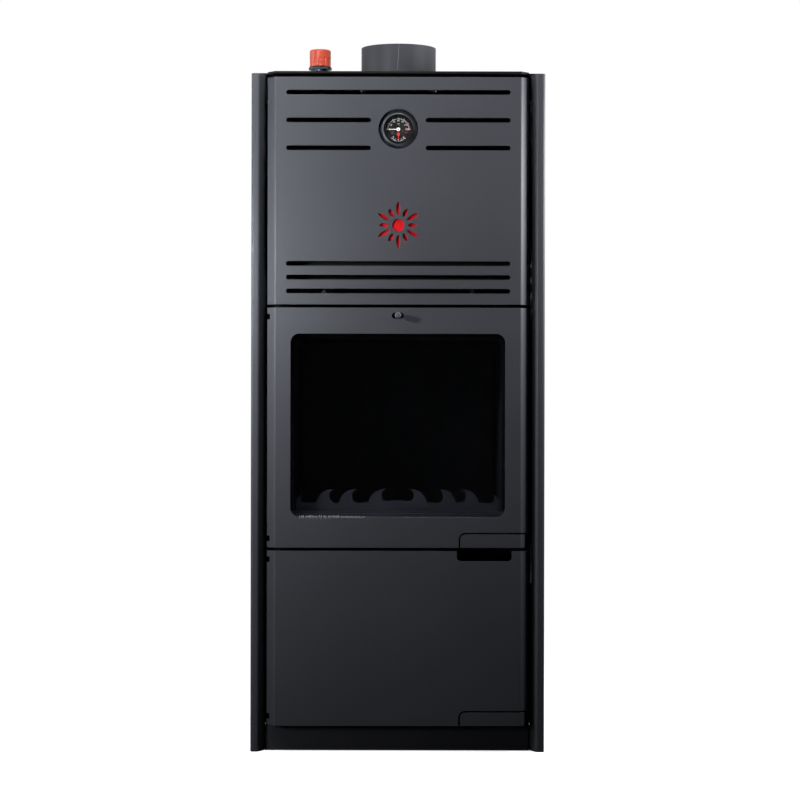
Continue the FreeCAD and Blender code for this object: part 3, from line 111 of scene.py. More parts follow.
class StoveSizes(bpy.types.PropertyGroup):
    """Sizes of the patterns and the fibres, and the camera's place."""
    peel: length("Spray peel", "Width of the paint's orange peel", 2.4)
    grain: length("Paint grain", "Width of the paint's pigment grains", 0.5)
    spangle: length("Zinc spangle", "Width of a zinc crystal on the galvanised sheet", 14)
    edge: length("Edge rounding", "Radius that light sees on a cut sheet edge", 0.7)
    # Height of the band of painted light on the fire door's sill
    ash_film: length("Ash film", "Height of the ash film over the frame's bottom", 24)
    strand: length("Rope strand", "Thickness of one strand of the door rope", 2.6)
    thread: length("Tape thread", "Spacing of the window tape's threads", 1.1)
    figure: length("Dial figures", "Height of the dial's figures", 3.6)
    camera_away: length("Camera distance", "From the trims' front face to the camera", 4571)
    camera_height: length("Camera height", "Height of the camera over the floor", 670.4)


def node(tree, kind, settings=None, links=None):
    """Add one node, set its properties or inputs by name or number, and link sockets into it."""
    new = tree.nodes.new(kind)
    for key, value in (settings or {}).items():
        if isinstance(key, str) and hasattr(new, key):
            setattr(new, key, value)
        else:
            new.inputs[key].default_value = value
    for key, source in (links or {}).items():
        tree.links.new(source, new.inputs[key])
    return new


def finish(name, sockets):
    """Start a material with one principled shader; sockets are its constant values."""
    made = bpy.data.materials.new(name)
    made.use_nodes = True
    tree = made.node_tree
    tree.nodes.clear()
    shader = node(tree, "ShaderNodeBsdfPrincipled", sockets)
    node(tree, "ShaderNodeOutputMaterial", None, {"Surface": shader.outputs["BSDF"]})
    place = node(tree, "ShaderNodeTexCoord").outputs["Object"]
    return made, tree, shader, place


def shared(name, maker):
    """The material of that name, made at its first use."""
    return bpy.data.materials.get(name) or maker(name)


def per(size):
    """Texture scale that makes one cell as wide as size, in metres."""
    return 1.0 / size


def wave_per(size):
    """Wave scale that makes one band as wide as size; Blender draws twenty bands in one unit."""
    return per(size) / 20


def solid(rgb):
    return (rgb[0], rgb[1], rgb[2], 1.0)


def shade(rgb, factor):
    return (rgb[0] * factor, rgb[1] * factor, rgb[2] * factor, 1.0)


def clouds(tree, place, size, detail):
    """Grey socket of a noise with clouds of that size, in metres; its node also has colours."""
    made = node(tree, "ShaderNodeTexNoise", {"Scale": per(size), "Detail": detail}, {"Vector": place})
    return made.outputs["Fac"]


def blend(tree, share, first, second, mode="MIX"):
    """Mix two colours; the share and the colours are constants or sockets."""
    values = {0: share, 6: first, 7: second}
    links = {key: value for key, value in values.items() if isinstance(value, bpy.types.NodeSocket)}
    settings = {key: value for key, value in values.items() if key not in links}
    settings.update({"data_type": "RGBA", "blend_type": mode})
    return node(tree, "ShaderNodeMix", settings, links).outputs[2]


def tint(tree, shader, share, first, second):
    """Let a share set the base colour between two colours."""
    mixed = blend(tree, share, solid(first), solid(second))
    tree.links.new(mixed, shader.inputs["Base Color"])


def roughen(tree, shader, share, low, high, start=0.0):
    """Let a share, counted from start, set the roughness between two values."""
    spread = node(tree, "ShaderNodeMapRange", {"From Min": start, "To Min": low, "To Max": high},
                  {"Value": share})
    tree.links.new(spread.outputs["Result"], shader.inputs["Roughness"])


def relief(tree, shader, height, strength, depth, under=None):
    """Raise a pattern, up to depth in metres, on the surface or on the relief under it."""
    links = {"Height": height}
    if under is not None:
        links["Normal"] = under
    raised = node(tree, "ShaderNodeBump", {"Strength": strength, "Distance": depth}, links).outputs["Normal"]
    tree.links.new(raised, shader.inputs["Normal"])
    return raised


def rounded_edges(tree, radius):
    """Normals that make a sharp edge catch the light as a rounded one does."""
    return node(tree, "ShaderNodeBevel", {"samples": 4, "Radius": radius}).outputs["Normal"]


def sprayed_paint(name, rgb, film, lit_band=None):
    """Heat-resistant silicone paint, sprayed on sheet and stoved: a satin skin with orange peel,
    fine pigment grain, broad spray passes and edges that catch the light. Between two heights,
    if they are given, a band of lighter grey is painted on it as painted light."""
    sizes = bpy.context.scene.stove_sizes
    rough_low, rough_high, specular = film
    made, tree, shader, place = finish(name, {"Specular IOR Level": specular, "IOR": 1.5})
    passes = clouds(tree, place, 160 * MM, 3.0)
    grain = clouds(tree, place, sizes.grain, 2.0)
    peel = clouds(tree, place, sizes.peel, 1.0)
    dust = node(tree, "ShaderNodeTexVoronoi", {"Scale": per(11 * MM), "Randomness": 1.0}, {"Vector": place})
    specks = node(tree, "ShaderNodeMapRange",
                  {"From Min": 0.03, "From Max": 0.05, "To Min": 1.0, "To Max": 0.0},
                  {"Value": dust.outputs["Distance"]})
    tone = blend(tree, passes, shade(rgb, 0.93), shade(rgb, 1.07))
    grained = blend(tree, 0.16, tone, grain.node.outputs["Color"], "OVERLAY")
    coat = blend(tree, specks.outputs["Result"], grained, shade(rgb, 1.5))
    # Between the two heights the base colour turns a lighter grey: painted light
    if lit_band:
        low, high = lit_band
        height = node(tree, "ShaderNodeSeparateXYZ", None, {"Vector": place})
        within = node(tree, "ShaderNodeMath",
                      {"operation": "COMPARE", 1: (low + high) / 2, 2: (high - low) / 2},
                      {0: height.outputs["Z"]})
        coat = blend(tree, within.outputs["Value"], coat, solid(bpy.context.scene.stove_colours.ash))
    tree.links.new(coat, shader.inputs["Base Color"])
    roughen(tree, shader, passes, rough_low, rough_high)
    skin = relief(tree, shader, peel, 0.35, 0.05 * MM, rounded_edges(tree, sizes.edge))
    relief(tree, shader, grain, 0.3, 0.03 * MM, skin)
    return made


def mill_scale_steel(name):
    """Hot-rolled boiler plate with mill scale: blue-grey, blotched, half metallic."""
    made, tree, shader, place = finish(name, {"Metallic": 0.75})
    blotch = clouds(tree, place, 38 * MM, 6.0)
    scratch = clouds(tree, place, 2 * MM, 3.0)
    tint(tree, shader, blotch, linear("#3a3d42"), linear("#6b6c70"))
    roughen(tree, shader, blotch, 0.42, 0.7)
    relief(tree, shader, scratch, 0.4, 0.1 * MM)
    return made


def sand_cast_iron(name):
    """Grey iron as it left the sand: dull, dark, with a coarse granular skin."""
    made, tree, shader, place = finish(name, {"Metallic": 0.35})
    sand = clouds(tree, place, 1.6 * MM, 4.0)
    patch = clouds(tree, place, 30 * MM, 3.0)
    tint(tree, shader, patch, linear("#232325"), linear("#47474a"))
    roughen(tree, shader, sand, 0.55, 0.85)
    relief(tree, shader, sand, 0.8, 0.3 * MM)
    return made


def zinc_plate(name):
    """Electroplated zinc on turned steel: bright, slightly blue, with fine turning marks."""
    made, tree, shader, place = finish(name, {"Metallic": 1.0})
    cloud = clouds(tree, place, 3 * MM, 3.0)
    marks = clouds(tree, place, 0.5 * MM, 1.0)
    tint(tree, shader, cloud, linear("#b9bec4"), linear("#dfe0dd"))
    roughen(tree, shader, cloud, 0.2, 0.38)
    relief(tree, shader, marks, 0.2, 0.02 * MM)
    return made


def galvanised_sheet(name):
    """Hot-dip galvanised sheet: a patchwork of zinc crystals, each with its own grey and gloss."""
    sizes = bpy.context.scene.stove_sizes
    made, tree, shader, place = finish(name, {"Metallic": 0.9})
    warp = clouds(tree, place, 20 * MM, 4.0)
    bent = blend(tree, 0.006, place, warp.node.outputs["Color"], "LINEAR_LIGHT")
    flake = node(tree, "ShaderNodeTexVoronoi", {"Scale": per(sizes.spangle)}, {"Vector": bent})
    grey = node(tree, "ShaderNodeSeparateColor", None, {"Color": flake.outputs["Color"]})
    tint(tree, shader, grey.outputs["Red"], linear("#8f9499"), linear("#b9bdc0"))
    roughen(tree, shader, grey.outputs["Green"], 0.34, 0.52)
    relief(tree, shader, warp, 0.15, 0.05 * MM)
    return made


def pane_glass(name, rgb, refraction, smear, detail, clean, haze):
    """A flat polished pane: clear or faintly tinted, with sharp reflections and a thin film of smears.
    It passes the lamps' light straight on, as thin glass does."""
    made, tree, shader, place = finish(name, {
        "Base Color": solid(rgb), "Transmission Weight": 1.0, "IOR": refraction})
    film = clouds(tree, place, smear, detail)
    roughen(tree, shader, film, 0.0, haze, clean)
    path = node(tree, "ShaderNodeLightPath")
    clear = node(tree, "ShaderNodeBsdfTransparent")
    both = node(tree, "ShaderNodeMixShader", None, {0: path.outputs["Is Shadow Ray"],
                                                    1: shader.outputs["BSDF"], 2: clear.outputs["BSDF"]})
    tree.links.new(both.outputs["Shader"], tree.nodes["Material Output"].inputs["Surface"])
    return made


def moulded_plastic(name, rgb, rough, grit):
    """Injection-moulded plastic: even colour, a spark-eroded grain and a soft sheen."""
    made, tree, shader, place = finish(name, {"IOR": 1.48, "Specular IOR Level": 0.5})
    flow = clouds(tree, place, 18 * MM, 2.0)
    spark = clouds(tree, place, grit, 2.0)
    tint(tree, shader, flow, shade(rgb, 0.9), shade(rgb, 1.08))
    roughen(tree, shader, flow, rough - 0.06, rough + 0.08)
    relief(tree, shader, spark, 0.3, 0.03 * MM, rounded_edges(tree, 0.4 * MM))
    return made


def nickel_plated_brass(name):
    """Turned brass under dull nickel: grey metal with faint turning marks and finger film."""
    made, tree, shader, place = finish(name, {"Metallic": 1.0})
    film = clouds(tree, place, 6 * MM, 4.0)
    tint(tree, shader, film, linear("#3f474f"), linear("#636c75"))
    roughen(tree, shader, film, 0.28, 0.45)
    turning = node(tree, "ShaderNodeTexWave", {"wave_type": "BANDS", "bands_direction": "Z",
                                               "Scale": wave_per(0.8 * MM), "Distortion": 0.6},
                   {"Vector": place})
    relief(tree, shader, turning.outputs["Fac"], 0.15, 0.03 * MM)
    return made


def printed_ink(name, rgb):
    """Screen-printed ink on the dial: flat and matt, with a slightly uneven film."""
    made, tree, shader, place = finish(name, {"IOR": 1.45})
    film = clouds(tree, place, 0.7 * MM, 2.0)
    tint(tree, shader, film, shade(rgb, 0.9), rgb)
    roughen(tree, shader, film, 0.5, 0.7)
    return made


def glass_yarn(name, rgb):
    """Spun glass yarn, twisted and braided: off-white, dull, with fine filaments along each strand."""
    made, tree, shader, place = finish(name, {
        "Sheen Weight": 0.3, "Sheen Roughness": 0.5, "Specular IOR Level": 0.3})
    filament = clouds(tree, place, 0.45 * MM, 3.0)
    patch = clouds(tree, place, 14 * MM, 2.0)
    tone = blend(tree, patch, shade(rgb, 0.72), solid(rgb))
    fine = blend(tree, 0.35, tone, filament.node.outputs["Color"], "OVERLAY")
    tree.links.new(fine, shader.inputs["Base Color"])
    roughen(tree, shader, filament, 0.7, 0.95)
    relief(tree, shader, filament, 0.6, 0.15 * MM)
    return made


def woven_glass_tape(name, rgb):
    """Plain-woven glass tape: off-white threads over and under each other, dull, with a hairy edge."""
    sizes = bpy.context.scene.stove_sizes
    made, tree, shader, place = finish(name, {"Sheen Weight": 0.3, "Specular IOR Level": 0.3})
    warp, weft = (node(tree, "ShaderNodeTexWave", {"bands_direction": way, "Scale": wave_per(sizes.thread),
                                                   "Distortion": 0.5}, {"Vector": place}) for way in "XZ")
    weave = node(tree, "ShaderNodeMath", {"operation": "MULTIPLY"},
                 {0: warp.outputs["Fac"], 1: weft.outputs["Fac"]})
    soot = clouds(tree, place, 9 * MM, 3.0)
    tint(tree, shader, soot, shade(rgb, 0.35), rgb)
    roughen(tree, shader, soot, 0.75, 0.95)
    relief(tree, shader, weave.outputs["Value"], 0.7, 0.2 * MM)
    return made


def matted_mineral_wool(name, rgb):
    """Spun stone wool pressed into mats: ochre, dull, a tangle of fibres with darker shot in it."""
    made, tree, shader, place = finish(name, {"Sheen Weight": 0.4, "Specular IOR Level": 0.2})
    stretch = node(tree, "ShaderNodeMapping", {"Scale": (1.0, 1.0, 0.35)}, {"Vector": place})
    fibre = node(tree, "ShaderNodeTexNoise", {"Scale": per(3 * MM), "Detail": 8.0, "Distortion": 1.2},
                 {"Vector": stretch.outputs["Vector"]})
    clump = clouds(tree, place, 45 * MM, 4.0)
    tint(tree, shader, fibre.outputs["Fac"], shade(rgb, 0.55), shade(rgb, 1.15))
    roughen(tree, shader, clump, 0.85, 1.0)
    relief(tree, shader, fibre.outputs["Fac"], 1.0, 1.2 * MM)
    return made


def dress(names, material):
    """Give CAD nodes one material."""
    for name in names:
        mesh = nodes[name].data
        mesh.materials.clear()
        mesh.materials.append(material)


def islands(name):
    """Boxes of a node's separate solids, left to right and low to high."""
    work = bmesh.new()
    work.from_mesh(nodes[name].data)
    bmesh.ops.remove_doubles(work, verts=work.verts, dist=WELD_DISTANCE)
    left = set(work.verts)
    boxes = []
    while left:
        group = [left.pop()]
        for vert in group:
            for edge in vert.link_edges:
                other = edge.other_vert(vert)
                if other in left:
                    left.remove(other)
                    group.append(other)
        spots = [v.co for v in group]
        boxes.append((Vector([min(c[i] for c in spots) for i in range(3)]),
                      Vector([max(c[i] for c in spots) for i in range(3)])))
    work.free()
    return sorted(boxes, key=lambda pair: (round(pair[0].x, 4), round(pair[0].z, 4)))


def piece(name, mesh_parts, material, body, replaced=(), smooth=True):
    """Make one object from lists of vertices and faces, and let it ride on a body."""
    mesh = bpy.data.meshes.new(name)
    spots = []
    faces = []
    for part_spots, part_faces in mesh_parts:
        start = len(spots)
        spots.extend(part_spots)
        faces.extend([tuple(i + start for i in face) for face in part_faces])
    mesh.from_pydata([tuple(s) for s in spots], [], faces)
    mesh.validate()
    work = bmesh.new()
    work.from_mesh(mesh)
    bmesh.ops.recalc_face_normals(work, faces=work.faces)
    work.to_mesh(mesh)
    work.free()
    if smooth:
        mesh.shade_smooth()
        mesh.set_sharp_from_angle(angle=SHARP_FROM)
    mesh.materials.append(material)
    made = bpy.data.objects.new(name, mesh)
    bpy.context.scene.collection.objects.link(made)
    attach(made, body)
    if replaced:
        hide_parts(*replaced)


def swept(rings, closed):
    """Skin over rings of equal length; an open sweep gets end caps."""
    count = len(rings[0])
    spots = [p for ring in rings for p in ring]
    faces = []
    runs = len(rings) if closed else len(rings) - 1
    for i in range(runs):
        a = i * count
        b = ((i + 1) % len(rings)) * count
        for j in range(count):
            k = (j + 1) % count
            faces.append((a + j, a + k, b + k, b + j))
    if not closed:
        last = (len(rings) - 1) * count
        faces.append(tuple(reversed(range(count))))
        faces.append(tuple(range(last, last + count)))
    return spots, faces


def round_turn(count):
    """Angles of count equal steps round a circle."""
    return [2 * math.pi * k / count for k in range(count)]


def turned(profile, centre, axis, side, steps=40):
    """Solid of revolution: profile of (radius, height) pairs about an axis."""
    across = axis.cross(side)
    outs = [side * math.cos(a) + across * math.sin(a) for a in round_turn(steps)]
    return swept([[centre + out * r + axis * h for out in outs] for r, h in profile], False)


def rounded_loop(low, high, inset, corner, steps):
    """Points with inward normals along a rectangle with round corners in the front view, and its length."""
    x0, x1 = low.x + inset, high.x - inset
    z0, z1 = low.z + inset, high.z - inset
    y = (low.y + high.y) / 2
    runs = []
    arc = corner * math.pi / 2
    for start, way, centre, turn in (
            (Vector((x0 + corner, y, z0)), Vector((1, 0, 0)), Vector((x1 - corner, y, z0 + corner)), -90),
            (Vector((x1, y, z0 + corner)), Vector((0, 0, 1)), Vector((x1 - corner, y, z1 - corner)), 0),
            (Vector((x1 - corner, y, z1)), Vector((-1, 0, 0)), Vector((x0 + corner, y, z1 - corner)), 90),
            (Vector((x0, y, z1 - corner)), Vector((0, 0, -1)), Vector((x0 + corner, y, z0 + corner)), 180)):
        straight = (x1 - x0 if way.x else z1 - z0) - 2 * corner
        runs.append((straight, start, way, centre, turn))
    total = sum(run[0] + arc for run in runs)
    points = []
    for i in range(steps):
        at = total * i / steps
        for straight, start, way, centre, turn in runs:
            if at <= straight:
                inward = Vector((-way.z, 0, way.x))
                points.append((start + way * at, inward))
                break
            at -= straight
            if at <= arc:
                a = math.radians(turn) + at / corner
                out = Vector((math.cos(a), 0, math.sin(a)))
                points.append((centre + out * corner, -out))
                break
            at -= arc
    return points, total


# Door ropes: one turn's length in rope radii, and shares of half a strand
STRANDS_EACH_WAY = 4
ROPE_STEPS_PER_TURN = 10
ROPE_TURN = 4.2
ROPE_CORNER_MM = 1.0
STRAND_WAVE = 0.28
STRAND_WIDTH = 1.25
STRAND_SLANT = (0.75, 0.66)
STRAND_ANGLES = (0, 1.05, 2.09, 3.14, 4.19, 5.24)
CORE_GAP = 0.2


def braided_rope(name, node_name, body, yarn, core_yarn_painted_shade):
    """Round braid of eight strands over a knitted core, in the door's rope channel."""
    low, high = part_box(node_name)
    radius = (high.y - low.y) / 2
    half = bpy.context.scene.stove_sizes.strand / 2
    weave = STRAND_WAVE * half
    middle = radius - half - weave
    corner = radius + ROPE_CORNER_MM * MM
    total = rounded_loop(low, high, radius, corner, 1)[1]
    turns = round(total / (ROPE_TURN * radius))
    points = rounded_loop(low, high, radius, corner, turns * ROPE_STEPS_PER_TURN)[0]
    forward = Vector((0, 1, 0))
    strands = []
    for way, phase in ((1, 0), (-1, math.pi)):
        for start in round_turn(STRANDS_EACH_WAY):
            rings = []
            for step, (spot, inward) in enumerate(points):
                turn = 2 * math.pi * step / ROPE_STEPS_PER_TURN
                a = way * turn + start
                lift = weave * math.cos(STRANDS_EACH_WAY * turn + phase)
                out = inward * math.cos(a) + forward * math.sin(a)
                around = forward * math.cos(a) - inward * math.sin(a)
                along = inward.cross(forward)
                slant = (around * STRAND_SLANT[0] * way + along * STRAND_SLANT[1]).normalized()
                flat = slant.cross(out)
                centre = spot + out * (middle + lift)
                rings.append([centre + out * (half * math.cos(t)) + flat * (STRAND_WIDTH * half * math.sin(t))
                              for t in STRAND_ANGLES])
            strands.append(swept(rings, True))
    piece(name, strands, yarn, body, (node_name,))
    rings = []
    for spot, inward in points[::2]:
        rings.append([spot + (inward * math.cos(t) + forward * math.sin(t)) * (middle - CORE_GAP * half)
                      for t in round_turn(8)])
    piece(name + "_core", [swept(rings, True)], core_yarn_painted_shade, body)


class STOVE_OT_door_ropes(bpy.types.Operator):
    """Braid the glass ropes of both doors."""
    bl_idname = "stove.door_ropes"
    bl_label = "Door ropes"

    def execute(self, context):
        colours = context.scene.stove_colours
        yarn = glass_yarn("braided_glass_yarn", colours.rope)
        # The core is the same yarn at 0.55 of its colour: painted shade where it shows between the strands
        core = glass_yarn("knitted_glass_core_painted_shade", shade(colours.rope, 0.55))
        braided_rope("fire_door_braid", "fire_door_rope", "fire_door", yarn, core)
        braided_rope("ash_door_braid", "ash_door_rope", "ash_door", yarn, core)
        return {"FINISHED"}


# Window tape, in millimetres
TAPE_WIDTH = 8.0
TAPE_INSET = 0.4
TAPE_CORNER = 14
TAPE_STEPS = 900
TAPE_SLACK = 0.1
TAPE_HIDDEN = 0.5
TAPE_RAGGED = 0.4
TAPE_LIP = 0.5
RAGS_PER_METRE = (900, 260)

# Its frayed end, in millimetres from the window's lower left corner; a tuft's size falls along the sill
TUFTS = 30
FIBRES_PER_TUFT = 4
TUFT_SIZE = 1.1
TUFT_FALL = 0.35
TUFT_VARIETY = 0.5
FRAY_START = 18
FRAY_RUN = 126
FRAY_SCATTER = 2.5
FIBRE_RISE = (0.6, 6.0)
FIBRE_HANG = (0.3, 9.0)
FIBRE_LEAN = 4.0
FIBRE_TAPER = ((0, 0.4), (0.25, 0.36), (0.5, 0.32), (0.75, 0.26), (1.0, 0.12))
FIBRE_ANGLES = (0, 1.57, 3.14, 4.71)


def tape_ring(spot, inward, thick):
    """Section of the window tape, with a ragged inner edge that stays behind the window's edge."""
    ragged = sum(noise.noise(spot * rags) * 0.5 for rags in RAGS_PER_METRE)
    reach = (TAPE_WIDTH - TAPE_HIDDEN + TAPE_RAGGED * ragged) * MM
    lip = reach - TAPE_LIP * MM
    profile = ((0, -0.8), (reach * 0.5, -1), (lip, -0.55), (reach, 0),
               (lip, 0.55), (reach * 0.5, 1), (0, 0.8))
    return [spot + inward * r + Vector((0, y * thick, 0)) for r, y in profile]


def loose_fibre(path):
    """One tapering fibre along the cubic curve of four places."""
    rings = []
    for t, wide in FIBRE_TAPER:
        shares = ((1 - t) ** 3, 3 * t * (1 - t) ** 2, 3 * t * t * (1 - t), t ** 3)
        spot = sum((p * s for p, s in zip(path, shares)), Vector())
        rings.append([spot + Vector((math.cos(a), 0.6 * math.sin(a), 0.8 * math.sin(a))) * wide * MM
                      for a in FIBRE_ANGLES])
    return swept(rings, False)


def tape_fray(low, high):
    """Tufts of fibres that rise from the tape, curl over the sill and hang down the door's skin."""
    fibres = []
    depth = (low.y + high.y) / 2
    sill = low.z + TAPE_WIDTH * MM
    left = low.x + TAPE_WIDTH * MM
    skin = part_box("fire_door_panel")[0].y
    for i in range(TUFTS):
        share = i / TUFTS
        size = TUFT_SIZE - TUFT_FALL * share + TUFT_VARIETY * noise.noise(Vector((i * 0.83, 4.0, 1.0)))
        shift = FRAY_SCATTER * noise.noise(Vector((i * 1.7, 2.0, 5.0)))
        x = left + (FRAY_START + FRAY_RUN * share + shift) * MM
        for k in range(FIBRES_PER_TUFT):
            seed = Vector((i * 1.37, k * 2.9, 7.7))
            rise = (FIBRE_RISE[0] + FIBRE_RISE[1] * abs(noise.noise(seed))) * MM * size
            hang = (FIBRE_HANG[0] + FIBRE_HANG[1] * abs(noise.noise(seed + Vector((3, 1, 0))))) * MM * size
            lean = FIBRE_LEAN * noise.noise(seed + Vector((1, 5, 2))) * MM
            fibres.append(loose_fibre([Vector((x, depth, sill - 1.0 * MM)),
                                       Vector((x + lean * 0.2, low.y - 0.5 * MM, sill + 1.6 * rise)),
                                       Vector((x + lean * 0.8, skin - 0.2 * MM, sill + 1.2 * rise)),
                                       Vector((x + lean, skin - 0.3 * MM, sill - hang))]))
    return fibres


class STOVE_OT_window_tape(bpy.types.Operator):
    """Lay the woven tape round the window, with its frayed end over the sill."""
    bl_idname = "stove.window_tape"
    bl_label = "Window tape"

    def execute(self, context):
        colours = context.scene.stove_colours
        low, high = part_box("glass_tape")
        thick = (high.y - low.y) / 2 - TAPE_SLACK * MM
        points = rounded_loop(low, high, TAPE_INSET * MM, TAPE_CORNER * MM, TAPE_STEPS)[0]
        rings = [tape_ring(spot, inward, thick) for spot, inward in points]
        weave = woven_glass_tape("plain_woven_glass_tape", colours.rope)
        piece("window_tape", [swept(rings, True)], weave, "fire_door", ("glass_tape",))
        yarn = glass_yarn("frayed_glass_yarn", colours.fray)
        piece("window_tape_fray", tape_fray(low, high), yarn, "fire_door")
        return {"FINISHED"}


# Wool mats: longest edges after each cut and depth of the hollows in millimetres, and swells per metre
WOOL_EDGES = (160, 80, 40)
WOOL_HOLLOW = 0.9
WOOL_SWELLS = 40
WOOL_TUFTS = 130


class STOVE_OT_wool_mats(bpy.types.Operator):
    """Give the mineral wool mats their uneven, fibrous faces."""
    bl_idname = "stove.wool_mats"
    bl_label = "Wool mats"

    def execute(self, context):
        work = bmesh.new()
        work.from_mesh(nodes["insulation_mats"].data)
        bmesh.ops.remove_doubles(work, verts=work.verts, dist=WELD_DISTANCE)
        for limit in WOOL_EDGES:
            long_edges = [e for e in work.edges if e.calc_length() > limit * MM]
            bmesh.ops.subdivide_edges(work, edges=long_edges, cuts=1, use_grid_fill=True)
        bmesh.ops.triangulate(work, faces=work.faces)
        work.normal_update()
        moves = []
        for vert in work.verts:
            sink = 1.0 + noise.noise(vert.co * WOOL_SWELLS) + 0.5 * noise.noise(vert.co * WOOL_TUFTS)
            moves.append(vert.normal * -sink * WOOL_HOLLOW * MM)
        for vert, move in zip(work.verts, moves):
            vert.co += move
        mesh = bpy.data.meshes.new("wool_mats")
        work.to_mesh(mesh)
        work.free()
        mesh.materials.append(matted_mineral_wool("matted_mineral_wool", context.scene.stove_colours.wool))
        mats = bpy.data.objects.new("wool_mats", mesh)
        context.scene.collection.objects.link(mats)
        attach(mats, "stove")
        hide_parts("insulation_mats")
        return {"FINISHED"}


# Gauge print: radii, tick ends with widths and places in millimetres, degrees clockwise from the top
INK = 0.08
TEMPERATURE_SCALE = {
    "first": -90, "step": 6, "count": 31, "every": 5, "value": 4, "arc": (19.6, 20.2), "tick": 20.1,
    "long": (23.0, 0.8), "short": (21.6, 0.4), "figure": 1.0, "figure_at": 16.6}
PRESSURE_SCALE = {
    "first": 238, "step": -7.25, "count": 17, "every": 4, "value": 0.25, "arc": (13.4, 13.9), "tick": 13.8,
    "long": (16.2, 0.7), "short": (14.9, 0.35), "figure": 0.8, "figure_at": 11.0}
CELSIUS_UP = 9.5
WARNING_ARC = (21.9, 22.6)
WARNING_TURNS = (61, 89)
BAR_PLACE = (15.5, 3.0)
BAR_FIGURE = 0.7
CAPITAL_SHARE = 0.7


def flat_bar(start, end, width, front, back):
    """Thin printed bar between two places of the front view."""
    way = (end - start).normalized()
    side = Vector((-way.z, 0, way.x)) * (width / 2)
    outline = [start + side, start - side, end - side, end + side]
    rings = [[Vector((p.x, y, p.z)) for p in outline] for y in (front, back)]
    return swept(rings, False)


def flat_arc(centre, radii, turns, front, back, steps=48):
    """Thin printed arc between two radii in millimetres; turns are degrees clockwise from the top."""
    inner, outer = (r * MM for r in radii)
    rings = []
    for i in range(steps + 1):
        a = math.radians(turns[0] + (turns[1] - turns[0]) * i / steps)
        out = Vector((math.sin(a), 0, math.cos(a)))
        rings.append([Vector((p.x, y, p.z)) for p, y in (
            (centre + out * inner, front), (centre + out * outer, front),
            (centre + out * outer, back), (centre + out * inner, back))])
    return swept(rings, False)


def figures(text, height, spot, front, back):
    """Raised figures of a printed film, upright in the front view."""
    curve = bpy.data.curves.new("figures", "FONT")
    curve.body = text
    curve.size = height / CAPITAL_SHARE
    curve.align_x = "CENTER"
    curve.align_y = "CENTER"
    curve.resolution_u = 3
    curve.extrude = (back - front) / 2
    holder = bpy.data.objects.new("figures", curve)
    mesh = bpy.data.meshes.new_from_object(holder)
    middle = (front + back) / 2
    spots = [Vector((spot.x + v.co.x, middle - v.co.z, spot.z + v.co.y)) for v in mesh.vertices]
    faces = [tuple(p.vertices) for p in mesh.polygons]
    bpy.data.objects.remove(holder)
    bpy.data.curves.remove(curve)
    bpy.data.meshes.remove(mesh)
    return spots, faces


def printed_scale(scale, centre, figure, front, back):
    """Arc, ticks and figures of one scale of the gauge."""
    last = scale["first"] + scale["step"] * (scale["count"] - 1)
    parts = [flat_arc(centre, scale["arc"], sorted((scale["first"], last)), front, back)]
    for i in range(scale["count"]):
        a = math.radians(scale["first"] + scale["step"] * i)
        out = Vector((math.sin(a), 0, math.cos(a)))
        figured = i % scale["every"] == 0
        end, width = scale["long"] if figured else scale["short"]
        start = centre + out * scale["tick"] * MM
        parts.append(flat_bar(start, centre + out * end * MM, width * MM, front, back))
        if figured:
            parts.append(figures(str(round(scale["value"] * i)), scale["figure"] * figure,
                                 centre + out * scale["figure_at"] * MM, front, back))
    return parts


class STOVE_OT_dial_print(bpy.types.Operator):
    """Print the gauge's temperature and pressure scales."""
    bl_idname = "stove.dial_print"
    bl_label = "Dial print"

    def execute(self, context):
        colours = context.scene.stove_colours
        figure = context.scene.stove_sizes.figure
        joints = {j["name"]: j for j in frame["joints"]}
        warm = Vector(joints["temperature_turn"]["pos_m"])
        pressed = Vector(joints["pressure_turn"]["pos_m"])
        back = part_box("gauge_dial")[0].y
        front = back - INK * MM
        white = printed_scale(TEMPERATURE_SCALE, warm, figure, front, back)
        white.append(figures("°C", figure, warm + Vector((0, 0, CELSIUS_UP * MM)), front, back))
        white += printed_scale(PRESSURE_SCALE, pressed, figure, front, back)
        white_ink = printed_ink("white_dial_ink", colours.print_white)
        piece("dial_scales", white, white_ink, "stove", smooth=False)
        unit = pressed + Vector((BAR_PLACE[0] * MM, 0, BAR_PLACE[1] * MM))
        red = [flat_arc(warm, WARNING_ARC, WARNING_TURNS, front, back),
               figures("bar", BAR_FIGURE * figure, unit, front, back)]
        red_ink = printed_ink("red_dial_ink", colours.pointer_red)
        piece("dial_warning_zone", red, red_ink, "stove", smooth=False)
        return {"FINISHED"}


# Casing screws, in millimetres: pairs are radius and height, for the hexagon share of its corner's radius
# and height, for crest and root radius and share of a turn
HEAD_HEIGHT = 4.0
FLANGE_PROFILE = ((0.3, 0), (5.0, 0), (5.0, 0.6), (4.5, 1.1), (0.3, 1.3))
HEX_CORNER = 4.5
HEX_PROFILE = ((1.0, 0.9), (1.0, 3.2), (0.84, 3.95), (0.6, 4.0), (0.52, 3.5), (0.1, 3.4))
HEAD_TURN_PER_METRE = 90
SCREW_PITCH = 0.8
SCREW_CREST = (2.4, 0.1)
SCREW_ROOT = (1.95, 0.6)
SCREW_TIP = 0.2


